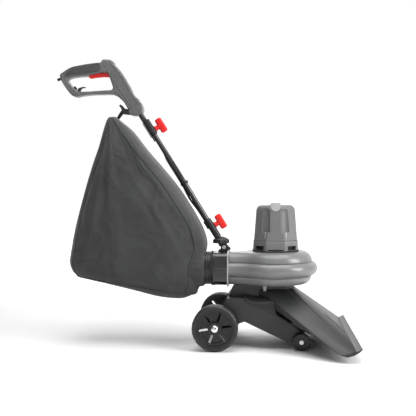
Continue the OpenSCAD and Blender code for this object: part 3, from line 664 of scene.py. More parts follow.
LEAN = math.radians(32)
FOOT = Vector((0.0245, 0, 0.439))
TUBE_Y = middle("lower_tube").y
UPPER_Y = middle("upper_tube").y
UP_TUBE = Vector((-math.sin(LEAN), 0, math.cos(LEAN)))
OFF_TUBE = Vector((math.cos(LEAN), 0, math.sin(LEAN)))
UPPER_OFF = -0.006
GRIP = FOOT + UPPER_OFF * OFF_TUBE + 0.477 * UP_TUBE + Vector((0, UPPER_Y, 0))


def on_handle(x, y, s):
    """A point of the handle's own frame: x off the tube's front, s along the tube."""
    return FOOT + x * OFF_TUBE + s * UP_TUBE + Vector((0, y, 0))


# ---- bag ----

# rear edge, front edge and share of the full thickness, from the tip down
BAG_ROWS = [
    (-0.345, 0.824, -0.318, 0.826, 0.18),
    (-0.352, 0.806, -0.300, 0.810, 0.34),
    (-0.362, 0.768, -0.257, 0.773, 0.52),
    (-0.376, 0.712, -0.203, 0.703, 0.70),
    (-0.398, 0.645, -0.150, 0.642, 0.83),
    (-0.422, 0.565, -0.088, 0.566, 0.92),
    (-0.446, 0.480, -0.034, 0.484, 0.97),
    (-0.463, 0.410, 0.006, 0.408, 1.0),
    (-0.473, 0.355, 0.017, 0.350, 1.0),
    (-0.480, 0.300, -0.004, 0.285, 0.99),
    (-0.470, 0.266, -0.004, 0.222, 0.93),
    (-0.456, 0.252, -0.020, 0.184, 0.84),
]
BAG_HALF = 0.118
BAG_Y = -0.012
BOXY = 3.4
TIP = Vector((-0.331, 0, 0.825))
CLOTH_THICK = 0.0012


def bag_side(u):
    """Half width of the bag's rounded section at a share u from its middle to its edge."""
    return max(0.0, 1 - abs(u) ** BOXY) ** (1 / BOXY)


def bag_folds(x, z, side):
    """How far the cloth stands out: long folds hanging from the tip, slack over the belly."""
    down = TIP.z - z
    fan_angle = math.atan2(x - TIP.x, max(down, 0.01))
    hang = min(1, down / 0.2)
    long_folds = noise.noise(Vector((fan_angle * 7.5, down * 1.6, 3 * side)))
    small_folds = noise.noise(Vector((fan_angle * 17, down * 4.0, 7 + 3 * side)))
    slack = noise.noise(Vector((x * 9, z * 9, 11 * side)))
    crease = 1 - 2 * abs(noise.noise(Vector((fan_angle * 9 + 2 * slack, down * 3.2, 19 * side))))
    pucker = noise.noise(Vector((x * 34, z * 26, 5 * side)))
    hanging = 0.010 * long_folds + 0.003 * small_folds + 0.0034 * crease**3
    return hang * hanging + 0.005 * slack + 0.0011 * pucker


def bag_point(row, u, v):
    """A point of the bag on a row, u along it and v across, both from -1 to 1."""
    xr, zr, xf, zf, share = row
    x = (xr + xf) / 2 + (xf - xr) / 2 * u
    z = (zr + zf) / 2 + (zf - zr) / 2 * u
    y = BAG_Y + BAG_HALF * share * v + bag_folds(x, z, 1 if v > 0 else -1) * v * min(1, share * 1.6)
    return Vector((x, y, z))


bag_lines = smooth_path(BAG_ROWS, 12)
RING = 216
bag_rings = []
for row in bag_lines:
    ring = []
    for k in range(RING):
        a = 2 * math.pi * k / RING
        u = math.copysign(abs(math.cos(a)) ** (2 / BOXY), math.cos(a))
        v = math.copysign(abs(math.sin(a)) ** (2 / BOXY), math.sin(a))
        ring.append(bag_point(row, u, v))
    bag_rings.append(ring)

# the floor of the bag sags under the leaves
last = bag_rings[-1]
floor_middle = sum(last, Vector()) / RING
for share in (0.94, 0.84, 0.68, 0.48, 0.26, 0.08):
    ring = []
    for p in last:
        q = floor_middle + (p - floor_middle) * share
        sag = 0.020 * math.exp(-(((q.x + 0.12) / 0.15) ** 2)) + 0.008
        q.z -= sag * math.sin(math.pi / 2 * min(1, (1 - share) * 4))
        ring.append(q)
    bag_rings.append(ring)
bag = skin("bag_shell", bag_rings)

# where the sleeve is sewn to the bag's skin
skin_tree = surface_tree(bag.data)
SLEEVE_SEAM_R = 0.0665
SLEEVE_STEPS = 120
sewn_line = []
for k in range(SLEEVE_STEPS):
    a = 2 * math.pi * k / SLEEVE_STEPS
    y = duct.y + SLEEVE_SEAM_R * math.cos(a)
    z = duct.z + SLEEVE_SEAM_R * math.sin(a)
    hit = skin_tree.ray_cast(Vector((0.2, y, z)), Vector((-1, 0, 0)))[0]
    sewn_line.append(Vector((hit.x - 0.002, y, z)))

# the round opening where the collar goes in
cutter = revolve(
    "opening_cutter",
    [(0, -0.1), (0.064, -0.1), (0.064, 0.08), (0, 0.08)],
    (0, duct.y, duct.z),
    "X",
)
cutter.data.materials.append(gloss_black)
bag.data.materials.append(bag_cloth)
opening = bag.modifiers.new("opening", "BOOLEAN")
opening.object = cutter
opening.solver = "EXACT"
opening.material_mode = "TRANSFER"
cut_mesh = bpy.data.meshes.new_from_object(bag.evaluated_get(bpy.context.evaluated_depsgraph_get()))
bag.modifiers.clear()
bag.data = cut_mesh
bpy.data.objects.remove(cutter)
bm = bmesh.new()
bm.from_mesh(bag.data)
inside_faces = [f for f in bm.faces if bag.data.materials[f.material_index] == gloss_black]
bmesh.ops.delete(bm, geom=inside_faces, context="FACES")
bm.to_mesh(bag.data)
bm.free()
tidy_mesh(bag, 60)
cloth = bag.modifiers.new("cloth thickness", "SOLIDIFY")
cloth.thickness = CLOTH_THICK
cloth.offset = -1
fit_piece(bag, bag_cloth, None, "bag_cloth", "bag")
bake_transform(bag)


def bag_seam(name, inset, front, side, radius=0.0016):
    """Piped seam on one face of the bag, a steady distance inside its front or rear edge."""
    points = []
    for row in bag_lines[6:]:
        half = abs(row[2] - row[0]) / 2
        reach = max(0.35, 1 - inset / max(half, 0.02))
        u = reach if front else -reach
        p = bag_point(row, u, side * bag_side(u))
        points.append(p + Vector((0, side * radius * 0.35, 0)))
    piping = swept_tube(name, points, radius, 10)
    fit_piece(piping, edge_tape, None, "bag_cloth")
    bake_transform(piping)


for side, label in ((-1, "near"), (1, "far")):
    bag_seam(f"bag_front_piping_{label}", 0.036, True, side)
    bag_seam(f"bag_rear_piping_{label}", 0.026, False, side)

# hem round the bag's floor, on both faces
hem_points = []
for k in range(RING + 1):
    hem_points.append(bag_rings[len(bag_lines) - 1][k % RING] + Vector((0, 0, -0.001)))
hem = swept_tube("bag_floor_hem", hem_points, 0.0018, 8)
fit_piece(hem, edge_tape, None, "bag_cloth")
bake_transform(hem)

# gathered sleeve from the bag to the collar
SLEEVE_END = [(0.000, 0.0662), (0.005, 0.0650), (0.009, 0.0632), (0.0118, 0.0612), (0.0130, 0.0598)]
sleeve_rings = []
for i in range(9):
    ring = []
    for k in range(SLEEVE_STEPS):
        a = 2 * math.pi * k / SLEEVE_STEPS
        if i < 5:
            t = i / 5
            x = sewn_line[k].x * (1 - t) + min(sewn_line[k].x * 0.2, 0) * t
            r = SLEEVE_SEAM_R - 0.0006 * t
        else:
            x, r = SLEEVE_END[i - 4]
        gather = 1 + 0.011 * math.sin(23 * a + 2 * math.sin(3 * a)) * math.sin(math.pi * i / 8)
        ring.append(Vector((x, duct.y + r * gather * math.cos(a), duct.z + r * gather * math.sin(a))))
    sleeve_rings.append(ring)
sleeve = skin("bag_sleeve", sleeve_rings, True, False, False)
sleeve_cloth = sleeve.modifiers.new("cloth thickness", "SOLIDIFY")
sleeve_cloth.thickness = 0.001
sleeve_cloth.offset = -1
fit_piece(sleeve, bag_cloth, "machine", "bag_cloth")
sewn = swept_tube("sleeve_stitching", sewn_line + sewn_line[:1], 0.0015, 8)
fit_piece(sewn, edge_tape, "machine", "bag_cloth")

# webbing loop from the hook to the bag's tip
hook_end = GRIP + Vector((-0.0675, 0, 0.0075))
tip_end = GRIP + Vector((-0.0835, 0, -0.0165))
strap_along = (hook_end - tip_end).normalized()
strap_across = Vector((strap_along.z, 0, -strap_along.x)) * 0.0052
strap_middle = (hook_end + tip_end) / 2
strap_reach = (hook_end - tip_end).length / 2 + 0.0015
strap_points = []
for k in range(33):
    a = 2 * math.pi * k / 32
    spread = 0.0086 * math.sin(a) * (0.6 + 0.4 * math.cos(a))
    strap_points.append(strap_middle + strap_along * strap_reach * math.cos(a) + Vector((0, spread, 0)))
strap_rings = []
for i, p in enumerate(strap_points):
    q = strap_points[(i + 1) % 32] - strap_points[i - 1 if i else 31]
    out = q.cross(strap_across).normalized() * 0.0009
    low_edge, high_edge = p - strap_across, p + strap_across
    strap_rings.append([low_edge - out, low_edge + out, high_edge + out, high_edge - out])
strap = skin("bag_strap_loop", strap_rings, True, False, False)
fit_piece(strap, webbing, None, "webbing", "bag_strap")
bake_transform(strap)

# ---- fan housing ----

FILLET = 0.150        # radius of the sweep from the scroll into the outlet
CORNER = 0.012        # radius where the outlet's far wall meets the scroll
WALL_NEAR, WALL_FAR = 0.062, 0.062


def scroll_outline(inset):
    """The housing seen from above, drawn in by inset, from the outlet's near wall to its far wall."""
    near, far = duct.y - WALL_NEAR + inset, duct.y + WALL_FAR - inset
    r = fan_radius - inset
    fillet = Vector((duct_face - 0.001, duct.y - WALL_NEAR - FILLET, 0))
    toward = math.atan2(fan_centre.y - fillet.y, fan_centre.x - fillet.x)
    line = [(duct_face, near)]
    for k in range(1, 15):
        a = math.pi / 2 + (toward - math.pi / 2) * k / 14
        line.append((fillet.x + (FILLET + inset) * math.cos(a), fillet.y + (FILLET + inset) * math.sin(a)))
    rise = duct.y + WALL_FAR + CORNER
    corner_x = fan_centre.x - math.sqrt((fan_radius + CORNER) ** 2 - rise**2)
    start = toward + math.pi
    stop = math.atan2(rise, corner_x - fan_centre.x) + 2 * math.pi
    for k in range(1, 109):
        a = start + (stop - start) * k / 108
        line.append((fan_centre.x + r * math.cos(a), r * math.sin(a)))
    back = math.atan2(-rise, fan_centre.x - corner_x)
    for k in range(1, 9):
        a = back + (-math.pi / 2 - back) * k / 8
        line.append((corner_x + (CORNER + inset) * math.cos(a), rise + (CORNER + inset) * math.sin(a)))
    line.append((duct_face, far))
    return line


def band(centre_inset, height, radius, from_degrees, to_degrees, steps):
    """Inset and height along one rounded band of the housing's side."""
    line = []
    for k in range(steps + 1):
        a = math.radians(from_degrees + (to_degrees - from_degrees) * k / steps)
        line.append((centre_inset - radius * math.cos(a), height + radius * math.sin(a)))
    return line


def housing_half(name, profile):
    """One half of the fan housing: the outline drawn in as the side profile says."""
    rings = []
    for inset, z in profile:
        rings.append([Vector((x, y, z)) for x, y in scroll_outline(inset)])
    half = skin(name, rings, True, True, True)
    return half


low_band = band(0.0516, 0.249, 0.030, -90, -3, 10)
middle_low = band(0.0254, 0.275, 0.0254, -78, 62, 18)
top_band = band(0.0556, 0.299, 0.037, 4, 90, 12)
lower_profile = (
    low_band
    + [(0.0232, 0.2492), (0.0236, 0.2500)]
    + middle_low
    + [(0.0166, 0.2988), (0.0205, 0.2993)]
)
upper_profile = [(0.0215, 0.2999), (0.0190, 0.3004)] + top_band
lower_half = housing_half("fan_housing_bottom", lower_profile)
fit_piece(lower_half, silver_grey, "machine", "silver_plastic", "fan_housing_lower")
upper_half = housing_half("fan_housing_top", upper_profile)
fit_piece(upper_half, silver_grey, "machine", "silver_plastic", "fan_housing_upper")

# ---- shelf along the foot of the nozzle hood ----

# X and Z of the shelf's lower edge and its rise, from the deck down to the small front wheel
SHELF_EDGE = [(0.158, 0.1790, 0.004), (0.175, 0.1615, 0.019), (0.210, 0.1475, 0.030), (0.253, 0.1300, 0.040),
              (0.309, 0.0975, 0.040), (0.352, 0.0735, 0.034), (0.386, 0.0540, 0.030)]
SHELF_PROUD = 0.0012
chassis_tree = surface_tree(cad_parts["chassis"].data)


def side_wall(x, z, side):
    """How far out the chassis reaches at a place on its side."""
    hit = chassis_tree.ray_cast(Vector((x, side * 0.32, z)), Vector((0, -side, 0)))[0]
    return abs(hit.y) if hit else 0.108


hood_tree = surface_tree(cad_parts["nozzle_hood"].data)
for side, label in ((-1, "near"), (1, "far")):
    shelf_rings = []
    for x, z, rise in smooth_path(SHELF_EDGE, 6):
        foot_y = min(side_wall(x, z - 0.004, side) + SHELF_PROUD, 0.1172)
        wall = hood_tree.ray_cast(Vector((x, side * 0.32, z + rise)), Vector((0, -side, 0)))[0]
        wall_y = abs(wall.y) - 0.001 if wall else foot_y - 0.003
        if wall_y > foot_y - 0.003:
            wall_y = foot_y - 0.003
            under = hood_tree.ray_cast(Vector((x, side * wall_y, z - 0.002)), Vector((0, 0, 1)))[0]
            rise = min(rise, under.z + 0.003 - z) if under else rise
        ring = [Vector((x, side * (foot_y - 0.004), z))]
        for k in range(11):
            t = k / 10
            out = foot_y + (wall_y - foot_y) * (1 - math.cos(t * math.pi / 2))
            ring.append(Vector((x, side * out, z + max(rise, 0.004) * math.sin(t * math.pi / 2))))
        shelf_rings.append(ring)
    shelf = skin(f"hood_shelf_{label}", shelf_rings, False, False, False)
    board = shelf.modifiers.new("wall", "SOLIDIFY")
    board.thickness = 0.002
    board.offset = 0
    fit_piece(shelf, hood_black, "machine", "hood_plastic")
    # dark tube along the shelf's lower edge: painted shadow under the step, not a bead the hood has
    shelf_shadow_line = swept_tube(f"hood_shelf_painted_shadow_{label}", [ring[1] for ring in shelf_rings], 0.0014, 10)
    fit_piece(shelf_shadow_line, satin_black, "machine", "hood_plastic")

# ---- motor tower ----

MOTOR = middle("motor_cover")
WELL_X, WELL_Y, WELL_R = 0.040, 0.0745, 0.020
WELL_FLOOR, WELL_TOP, WELL_ROUND = 0.4052, 0.489, 0.007
CORNER_SHARPNESS = 30
TOWER_STEPS = 432
RIB_TOP, RIB_FADE, RIB_SPREAD = 0.404, 0.008, 1.3
LIP_SOFTNESS = 0.0011


def tower_radius(angle, half, rib):
    """Distance from the axis to eight flat sides with rounded corners, each with a thin rib."""
    total = sum(abs(math.cos(angle - k * math.pi / 4)) ** CORNER_SHARPNESS for k in range(4))
    off_corner = math.degrees(angle) % 45 - 22.5
    return half / total ** (1 / CORNER_SHARPNESS) + rib * math.exp(-((off_corner / RIB_SPREAD) ** 2))


def well_reach(angle, z):
    """Distance from the axis to the finger wells at a height; beyond the tower where there are none."""
    rise = min(z - WELL_FLOOR, WELL_TOP - z)
    if rise < 0:
        return 1
    hollow = max(0, WELL_ROUND - rise)
    radius = WELL_R - WELL_ROUND + math.sqrt(WELL_ROUND**2 - hollow**2)
    nearest = 1
    for x in (-WELL_X, WELL_X):
        for y in (-WELL_Y, WELL_Y):
            along = x * math.cos(angle) + y * math.sin(angle)
            miss = x * x + y * y - along * along
            if along > 0 and miss < radius * radius:
                nearest = min(nearest, along - math.sqrt(radius * radius - miss))
    return nearest


def tower_shell(name, profile, wells, thick, rib=0.0):
    """An eight sided shell through steps of half width and height."""
    rings = []
    for half, z in profile:
        ring = []
        for k in range(TOWER_STEPS):
            a = 2 * math.pi * k / TOWER_STEPS
            r = tower_radius(a, half, rib * min(1, max(0, (RIB_TOP - z) / RIB_FADE)))
            reach = well_reach(a, z) if wells else 1
            if reach < r + 0.01:
                blend = math.log(1 + math.exp(-abs(r - reach) / LIP_SOFTNESS))
                r = min(r, reach) - LIP_SOFTNESS * blend
            ring.append(Vector((MOTOR.x + r * math.cos(a), MOTOR.y + r * math.sin(a), z)))
        rings.append(ring)
    shell = skin(name, rings, True, False, wells)
    wall = shell.modifiers.new("wall", "SOLIDIFY")
    wall.thickness = thick
    wall.offset = -1
    return shell


COVER_FOOT, COVER_SHOULDER = (0.0783, 0.3766), (0.0702, 0.4862)
cover_profile = [(0.0776, 0.3762), COVER_FOOT]
# close together where the wells begin and end
heights = [0.385, 0.395, 0.3985, 0.4015, 0.4037, 0.4048, 0.4053, 0.4058, 0.4066, 0.408, 0.410,
           0.4125, 0.42, 0.43, 0.44, 0.45, 0.46, 0.47, 0.478, 0.4815, 0.484, 0.4862]
for z in heights:
    t = (z - COVER_FOOT[1]) / (COVER_SHOULDER[1] - COVER_FOOT[1])
    cover_profile.append((COVER_FOOT[0] + (COVER_SHOULDER[0] - COVER_FOOT[0]) * t, z))
cover_profile += [(0.0700, 0.4878), (0.0697, 0.4886), (0.0693, 0.4889), (0.0686, 0.4915), (0.0668, 0.4950),
                  (0.0640, 0.4982), (0.0602, 0.5008), (0.0555, 0.5026), (0.049, 0.5034), (0.020, 0.5036)]
cover_shell = tower_shell("motor_cover_shell", cover_profile, True, 0.0024, 0.0011)
fit_piece(cover_shell, motor_grey, "machine", "motor_grey", "motor_cover")

base_shell = tower_shell(
    "motor_base_shell",
    [(0.0822, 0.3415), (0.0822, 0.3445), (0.0815, 0.349),
     (0.0808, 0.362), (0.0804, 0.3745), (0.0797, 0.3756)],
    False,
    0.003,
    0.0013,
)
base_shell = joined("motor_base_shell", [base_shell])
for k in range(8):
    diagonal = k % 2
    half_long = 0.021 if diagonal else 0.0265
    z0, z1 = (0.3425, 0.3575) if diagonal else (0.3380, 0.3458)
    window = bpy.data.objects.new("window", bpy.data.meshes.new("window"))
    bm = bmesh.new()
    bmesh.ops.create_cube(bm, size=1)
    bmesh.ops.scale(bm, verts=bm.verts, vec=(0.04, 2 * half_long, z1 - z0))
    bmesh.ops.translate(bm, verts=bm.verts, vec=(0.088, 0, (z0 + z1) / 2))
    bmesh.ops.rotate(bm, verts=bm.verts, matrix=Matrix.Rotation(k * math.pi / 4, 3, "Z"))
    bmesh.ops.translate(bm, verts=bm.verts, vec=(MOTOR.x, MOTOR.y, 0))
    bm.to_mesh(window.data)
    bm.free()
    cut = base_shell.modifiers.new("vent", "BOOLEAN")
    cut.object = window
    cut.solver = "EXACT"
    vented = bpy.data.meshes.new_from_object(base_shell.evaluated_get(bpy.context.evaluated_depsgraph_get()))
    base_shell.modifiers.clear()
    base_shell.data = vented
    bpy.data.objects.remove(window)
tidy_mesh(base_shell)
fit_piece(base_shell, motor_grey, "machine", "motor_grey", "motor_base")

foot_ring = tower_shell(
    "motor_foot_ring",
    [(0.0838, 0.3363), (0.0846, 0.3370), (0.0846, 0.3400), (0.0836, 0.3412), (0.0812, 0.3414)],
    False,
    0.004,
)
fit_piece(foot_ring, satin_black, "machine", "black_plastic")
screen_profile = [(0.0745, 0.3372)]
for k in range(12):
    z = 0.339 + 0.0018 * k
    screen_profile += [(0.0745, z), (0.0757, z + 0.0004), (0.0757, z + 0.0010), (0.0745, z + 0.0014)]
screen_profile += [(0.0735, 0.3606), (0.0735, 0.3372), (0.0745, 0.3372)]
vent_screen = revolve("vent_screen", screen_profile, (MOTOR.x, MOTOR.y, 0), "Z", 96)
fit_piece(vent_screen, satin_black, "machine", "black_plastic")

# ---- pivot dome ----

dome = Vector((0.069, TUBE_Y, 0))
dome_rings = []
for z, r, rib in [
    (0.3642, 0.0270, 0), (0.3642, 0.0296, 0.4), (0.3660, 0.0303, 1), (0.3740, 0.0300, 1),
    (0.3768, 0.0286, 0.7), (0.3795, 0.0256, 0.2), (0.3822, 0.0215, 0), (0.3850, 0.0160, 0),
    (0.3874, 0.0100, 0), (0.3886, 0.0040, 0),
]:
    ring = []
    for k in range(144):
        a = 2 * math.pi * k / 144
        ridge = 1 - rib * 0.075 * (0.5 + 0.5 * math.cos(18 * a)) ** 2
        ring.append(dome + Vector((r * ridge * math.cos(a), r * ridge * math.sin(a), z)))
    dome_rings.append(ring)
cap = skin("dome_cap", dome_rings)
LUG_POINTS = [(0.062, 0.366), (0.060, 0.358), (0.073, 0.346),
              (0.081, 0.3432), (0.0885, 0.348), (0.088, 0.366)]
lug = pressed(
    "dome_lug",
    [smooth_loop(LUG_POINTS, 3)],
    TUBE_Y - 0.0115,
    TUBE_Y + 0.0115,
    0.0012,
)
fit_piece(joined("ridged_dome", [cap, lug]), satin_black, "handle_lower", "black_plastic", "pivot_dome")

# ---- handle tubes and lead ----


def tube_piece(name, y, off, s0, s1, radius, wall):
    """A drawn tube of the handle with rolled ends, open through its middle."""
    inner = radius - wall
    profile = [
        (inner, s0 + 0.001), (inner + 0.0005, s0), (radius - 0.0005, s0), (radius, s0 + 0.0008),
        (radius, s1 - 0.0008), (radius - 0.0005, s1), (inner + 0.0005, s1), (inner, s1 - 0.001),
    ]
    tube = revolve(name, profile, (0, 0, 0), "Z", 48)
    turned = Matrix.Translation(on_handle(off, y, 0)) @ Matrix.Rotation(-LEAN, 4, "Y")
    tube.data.transform(turned)
    return tube


lower_tube = tube_piece("lower_tube_drawn", TUBE_Y, 0, -0.0499, 0.4291, 0.0095, 0.0015)
fit_piece(lower_tube, tube_paint, "handle_lower", "tube_paint", "lower_tube")
upper_tube = tube_piece("upper_tube_drawn", UPPER_Y, UPPER_OFF, 0.364, 0.524, 0.0105, 0.0015)
fit_piece(upper_tube, tube_paint, "handle_upper", "tube_paint", "upper_tube")

LEAD_Y = TUBE_Y + 0.009
# x off the tube, y and distance along the handle, from the upper tube down to the socket
LEAD_ROUTE = [
    (-0.006, 0.011, 0.410), (-0.006, 0.011, 0.370), (-0.006, 0.011, 0.322), (-0.008, 0.005, 0.300),
    (-0.0105, LEAD_Y, 0.276), (-0.0105, LEAD_Y, 0.230), (-0.0105, LEAD_Y, 0.178), (-0.0105, LEAD_Y, 0.162),
    (-0.014, LEAD_Y, 0.128), (-0.015, LEAD_Y, 0.106), (-0.012, LEAD_Y, 0.074), (-0.0105, LEAD_Y, 0.046),
    (-0.0105, LEAD_Y, 0.016), (-0.0105, LEAD_Y, -0.010),
]
lead = swept_tube("lead_sheath", smooth_path([on_handle(*p) for p in LEAD_ROUTE], 6), 0.004, 20)
fit_piece(lead, lead_rubber, "handle_lower", "lead_rubber", "power_lead")


# ---- clamping knobs ----


def t_knob(name, x, y, s, body, node):
    """T-shaped knob: a waisted stem and a rounded crossbar with finger grooves."""
    stem_profile = [(0, -0.004), (0.0039, -0.004), (0.0039, 0), (0.0092, 0),
                    (0.0100, 0.0008), (0.0100, 0.003), (0.0092, 0.0045), (0.0088, 0.008), (0.0094, 0.0135), (0.0098, 0.016), (0, 0.018)]
    stem = revolve(name + "_stem", stem_profile, (0, 0, 0), "X", 40)
    bar_rings = []
    for k in range(33):
        t = -1 + 2 * k / 32
        along = 0.0285 * t
        end = math.sqrt(max(0.0, 1 - max(0.0, (abs(t) - 0.72) / 0.28) ** 2))
        grooved = 1 - 0.05 * max(0.0, math.cos(18 * t)) * (abs(t) < 0.75)
        half_wide = 0.0102 * (0.35 + 0.65 * end) * grooved
        ring = []
        for j in range(28):
            a = 2 * math.pi * j / 28
            c, w = math.cos(a), math.sin(a)
            u = math.copysign(abs(c) ** 0.62, c)
            v = math.copysign(abs(w) ** 0.62, w)
            height = 0.0248 + 0.0128 * u * (0.45 + 0.55 * end)
            ring.append((height, half_wide * v, along))
        bar_rings.append(ring)
    bar = skin(name + "_bar", bar_rings)
    knob = joined(name, [stem, bar])
    knob.data.transform(Matrix.Translation(on_handle(x, y, s)) @ Matrix.Rotation(-LEAN, 4, "Y"))
    fit_piece(knob, signal_red, body, "red_plastic", node)


t_knob("lower_clamp_knob", 0.0143, TUBE_Y, -0.019, "lower_knob", "lower_knob")
t_knob("upper_clamp_knob", 0.0139, 0, 0.398, "upper_knob", "upper_knob")

# ---- grip ----


def grip_line(points, steps=3):
    """A smooth outline given in millimetres from the grip's collar."""
    return [(GRIP.x + x / 1000, GRIP.z + z / 1000) for x, z in smooth_loop(points, steps)]


GRIP_POINTS = [
    (-12, -5), (-30, -3), (-41, 12), (-56, 38), (-71, 54), (-89, 67), (-108, 72), (-145, 72),
    (-181, 71), (-218, 67), (-236, 63), (-251, 67), (-266, 82), (-284, 107), (-296, 130),
    (-298, 147), (-284, 156), (-255, 172), (-218, 181), (-181, 187), (-147, 190), (-138, 196),
    (-130, 198), (-108, 196), (-89, 177), (-71, 157), (-53, 130), (-34, 96), (-20, 68),
    (-5, 54), (5, 34), (9, 12), (4, 1),
]
HAND_GAP = [
    (-270, 126), (-255, 135), (-225, 139), (-196, 141), (-165, 148), (-137, 152), (-118, 148),
    (-112, 133), (-104, 111), (-100, 96), (-106, 88), (-126, 87), (-218, 82), (-236, 89),
    (-251, 101),
]
grip_low, grip_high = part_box("grip_right")[0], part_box("grip_left")[1]
SEAM = 0.0003
outer, gap = grip_line(GRIP_POINTS), grip_line(HAND_GAP)
for node, y0, y1 in (
    ("grip_right", grip_low.y, UPPER_Y),
    ("grip_left", UPPER_Y, grip_high.y),
):
    whole = pressed(node + "_shell", [outer, gap], grip_low.y, grip_high.y, 0.0062, 5)
    bm = bmesh.new()
    bm.from_mesh(whole.data)
    keep_right = node == "grip_right"
    plane_y = UPPER_Y + (-SEAM if keep_right else SEAM)
    bmesh.ops.bisect_plane(
        bm, geom=bm.verts[:] + bm.edges[:] + bm.faces[:], plane_co=(0, plane_y, 0), plane_no=(0, 1, 0),
        clear_outer=keep_right, clear_inner=not keep_right,
    )
    bmesh.ops.triangle_fill(bm, edges=[e for e in bm.edges if e.is_boundary], use_beauty=True)
    bm.to_mesh(whole.data)
    bm.free()
    tidy_mesh(whole)
    fit_piece(whole, grip_grey, "handle_upper", "grip_plastic", node)

NEAR, FAR = grip_low.y, grip_high.y
COVER_POINTS = [(-272, 152), (-250, 166), (-218, 174.5), (-181, 180.5), (-152, 183.5),
                (-144, 170), (-150, 157), (-165, 153.5), (-196, 147), (-225, 145), (-255, 141), (-270, 136), (-279, 142)]
near_panel = pressed("near_panel", [grip_line(COVER_POINTS)], NEAR - 0.0006, NEAR + 0.0019, 0.0010)
far_panel = pressed("far_panel", [grip_line(COVER_POINTS)], FAR - 0.0019, FAR + 0.0006, 0.0010)
soft = joined("soft_cover_panels", [near_panel, far_panel])
fit_piece(soft, soft_cover, "handle_upper", "grip_rubber", "grip_cover")
CAP_POINTS = [(-143, 186), (-140, 198), (-131, 201), (-108, 199), (-96, 189), (-104, 178), (-120, 181)]
cap = pressed("column_cap", [grip_line(CAP_POINTS)], NEAR + 0.0004, FAR - 0.0004, 0.004)
fit_piece(cap, motor_grey, "handle_upper", "grip_plastic")
FLARE_POINTS = [(-33, -5), (-12, -8), (5, -2), (12, 14), (8, 34), (2, 42), (-12, 36), (-30, 20), (-42, 8)]
flare = pressed("column_flare", [grip_line(FLARE_POINTS)], NEAR - 0.0012, FAR + 0.0012, 0.004)
fit_piece(flare, grip_grey, "handle_upper", "grip_plastic")

# long ridges down the column and round the hand bar, on both faces
RIDGES = {
    "column_rear": [(-126, 176), (-112, 150), (-92, 118), (-62, 74), (-36, 34), (-20, 6)],
    "column_front": [(-104, 184), (-84, 160), (-64, 133), (-44, 98), (-26, 66), (-8, 42), (0, 20)],
    "column_foot": [(-88, 84), (-74, 70), (-58, 50), (-42, 26), (-30, 10)],
    "bar_top": [(-289, 150), (-256, 170), (-218, 178.5), (-181, 184), (-150, 187.5)],
    "rear_strut": [(-290, 142), (-284, 118), (-268, 94), (-252, 78), (-236, 72), (-200, 75),
                   (-150, 78), (-110, 80)],
}
for name, points in RIDGES.items():
    for y, label in ((NEAR + 0.0002, "near"), (FAR - 0.0002, "far")):
        placed = [(GRIP.x + x / 1000, GRIP.z + z / 1000) for x, z in points]
        route = [Vector((x, y, z)) for x, z in smooth_path(placed, 5)]
        ridge = swept_tube(f"ridge_{name}_{label}", route, 0.0016, 10)
        fit_piece(ridge, grip_grey, "handle_upper", "grip_plastic")

# ---- ribbed collar ----

collar_profile = [(0.0560, -0.0498), (0.0585, -0.0498)]
for k in range(13):
    x = -0.0480 + 0.0036 * k
    swell = 0.0010 if k % 2 else 0.0
    collar_profile += [(0.0584 + swell, x), (0.0584 + swell, x + 0.0020)]
collar_profile += [(0.0590, -0.0006), (0.0580, 0.0), (0.0560, 0.0), (0.0560, -0.0498)]
collar = revolve("bag_collar_ribbed", collar_profile, (0.0359, duct.y, duct.z), "X", 96)
fit_piece(collar, satin_black, "machine", "black_plastic", "bag_collar")

# ---- the frame's own shapes with rounded edges ----

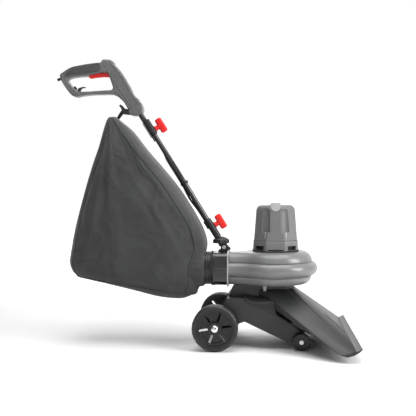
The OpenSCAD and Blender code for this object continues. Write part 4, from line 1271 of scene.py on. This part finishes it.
# node, material, body, slot, radius of the rounded edges in millimetres
SOFTENED = [
    ("chassis", charcoal, "machine", "charcoal_plastic", 0.8),
    ("nozzle_hood", hood_black, "machine", "hood_plastic", 1.1),
    ("front_lip", lip_grey, "machine", "lip_plastic", 0.9),
    ("hood_badge", tyre_rubber, "machine", "badge_plastic", 0.4),
    ("axle_caps", polished_chrome, "machine", "chrome_cap", 0.5),
    ("wheel_rim_left", rim_black, "wheel_left", "rim_plastic", 0.9),
    ("wheel_rim_right", rim_black, "wheel_right", "rim_plastic", 0.9),
    ("tyre_left", tyre_rubber, "wheel_left", "tyre", 0.9),
    ("tyre_right", tyre_rubber, "wheel_right", "tyre", 0.9),
    ("front_wheel_left", rim_black, "front_wheel_left", "rim_plastic", 0.8),
    ("front_wheel_right", rim_black, "front_wheel_right", "rim_plastic", 0.8),
    ("front_wheel_bolts", drawn_steel, "machine", "steel", 0.5),
    ("housing_clips", light_grey, "machine", "strap_grey", 0.6),
    ("cover_strap", light_grey, "machine", "strap_grey", 1.2),
    ("outlet_flange", light_grey, "machine", "strap_grey", 0.8),
    ("outlet_duct", gloss_black, "machine", "gloss_black", 0.8),
    ("outlet_ring", satin_black, "machine", "black_plastic", 0.5),
    ("foot_bracket", satin_black, "machine", "black_plastic", 0.6),
    ("foot_bolt", drawn_steel, "machine", "steel", 0.5),
    ("tube_socket", satin_black, "handle_lower", "black_plastic", 0.7),
    ("lead_clip", satin_black, "handle_lower", "black_plastic", 0.5),
    ("clamp_bracket", satin_black, "handle_lower", "black_plastic", 0.9),
    ("tube_plug", satin_black, "handle_upper", "black_plastic", 0.4),
    ("cord_gland", satin_black, "handle_upper", "black_plastic", 0.4),
    ("cord_hook", satin_black, "handle_upper", "black_plastic", 0.8),
    ("bag_hook", charcoal, "handle_upper", "charcoal_plastic", 1.2),
    ("trigger", signal_red, "trigger", "red_plastic", 1.6),
    ("lock_button", satin_black, "lock_button", "black_plastic", 0.8),
]
for node, material, body, slot_name, radius in SOFTENED:
    piece = softened(node, radius / 1000)
    fit_piece(piece, material, body, slot_name, node)

# inner pieces keep the frame's own meshes
KEPT = {
    "main_axle": drawn_steel,
    "inlet_ring": satin_black,
    "impeller": cast_aluminium,
    "mulching_blade": drawn_steel,
    "blade_nut": drawn_steel,
    "motor_shaft": drawn_steel,
    "armature": copper_winding,
    "commutator": plain_brass,
    "stator": iron_stack,
    "brush_holders": plain_brass,
    "bearings": drawn_steel,
    "motor_plate": cast_aluminium,
    "cooling_fan": satin_black,
    "cover_screws": drawn_steel,
    "grip_switch": satin_black,
    "grip_screws": drawn_steel,
}
for node, material in KEPT.items():
    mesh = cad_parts[node].data
    mesh.materials.clear()
    mesh.materials.append(material)
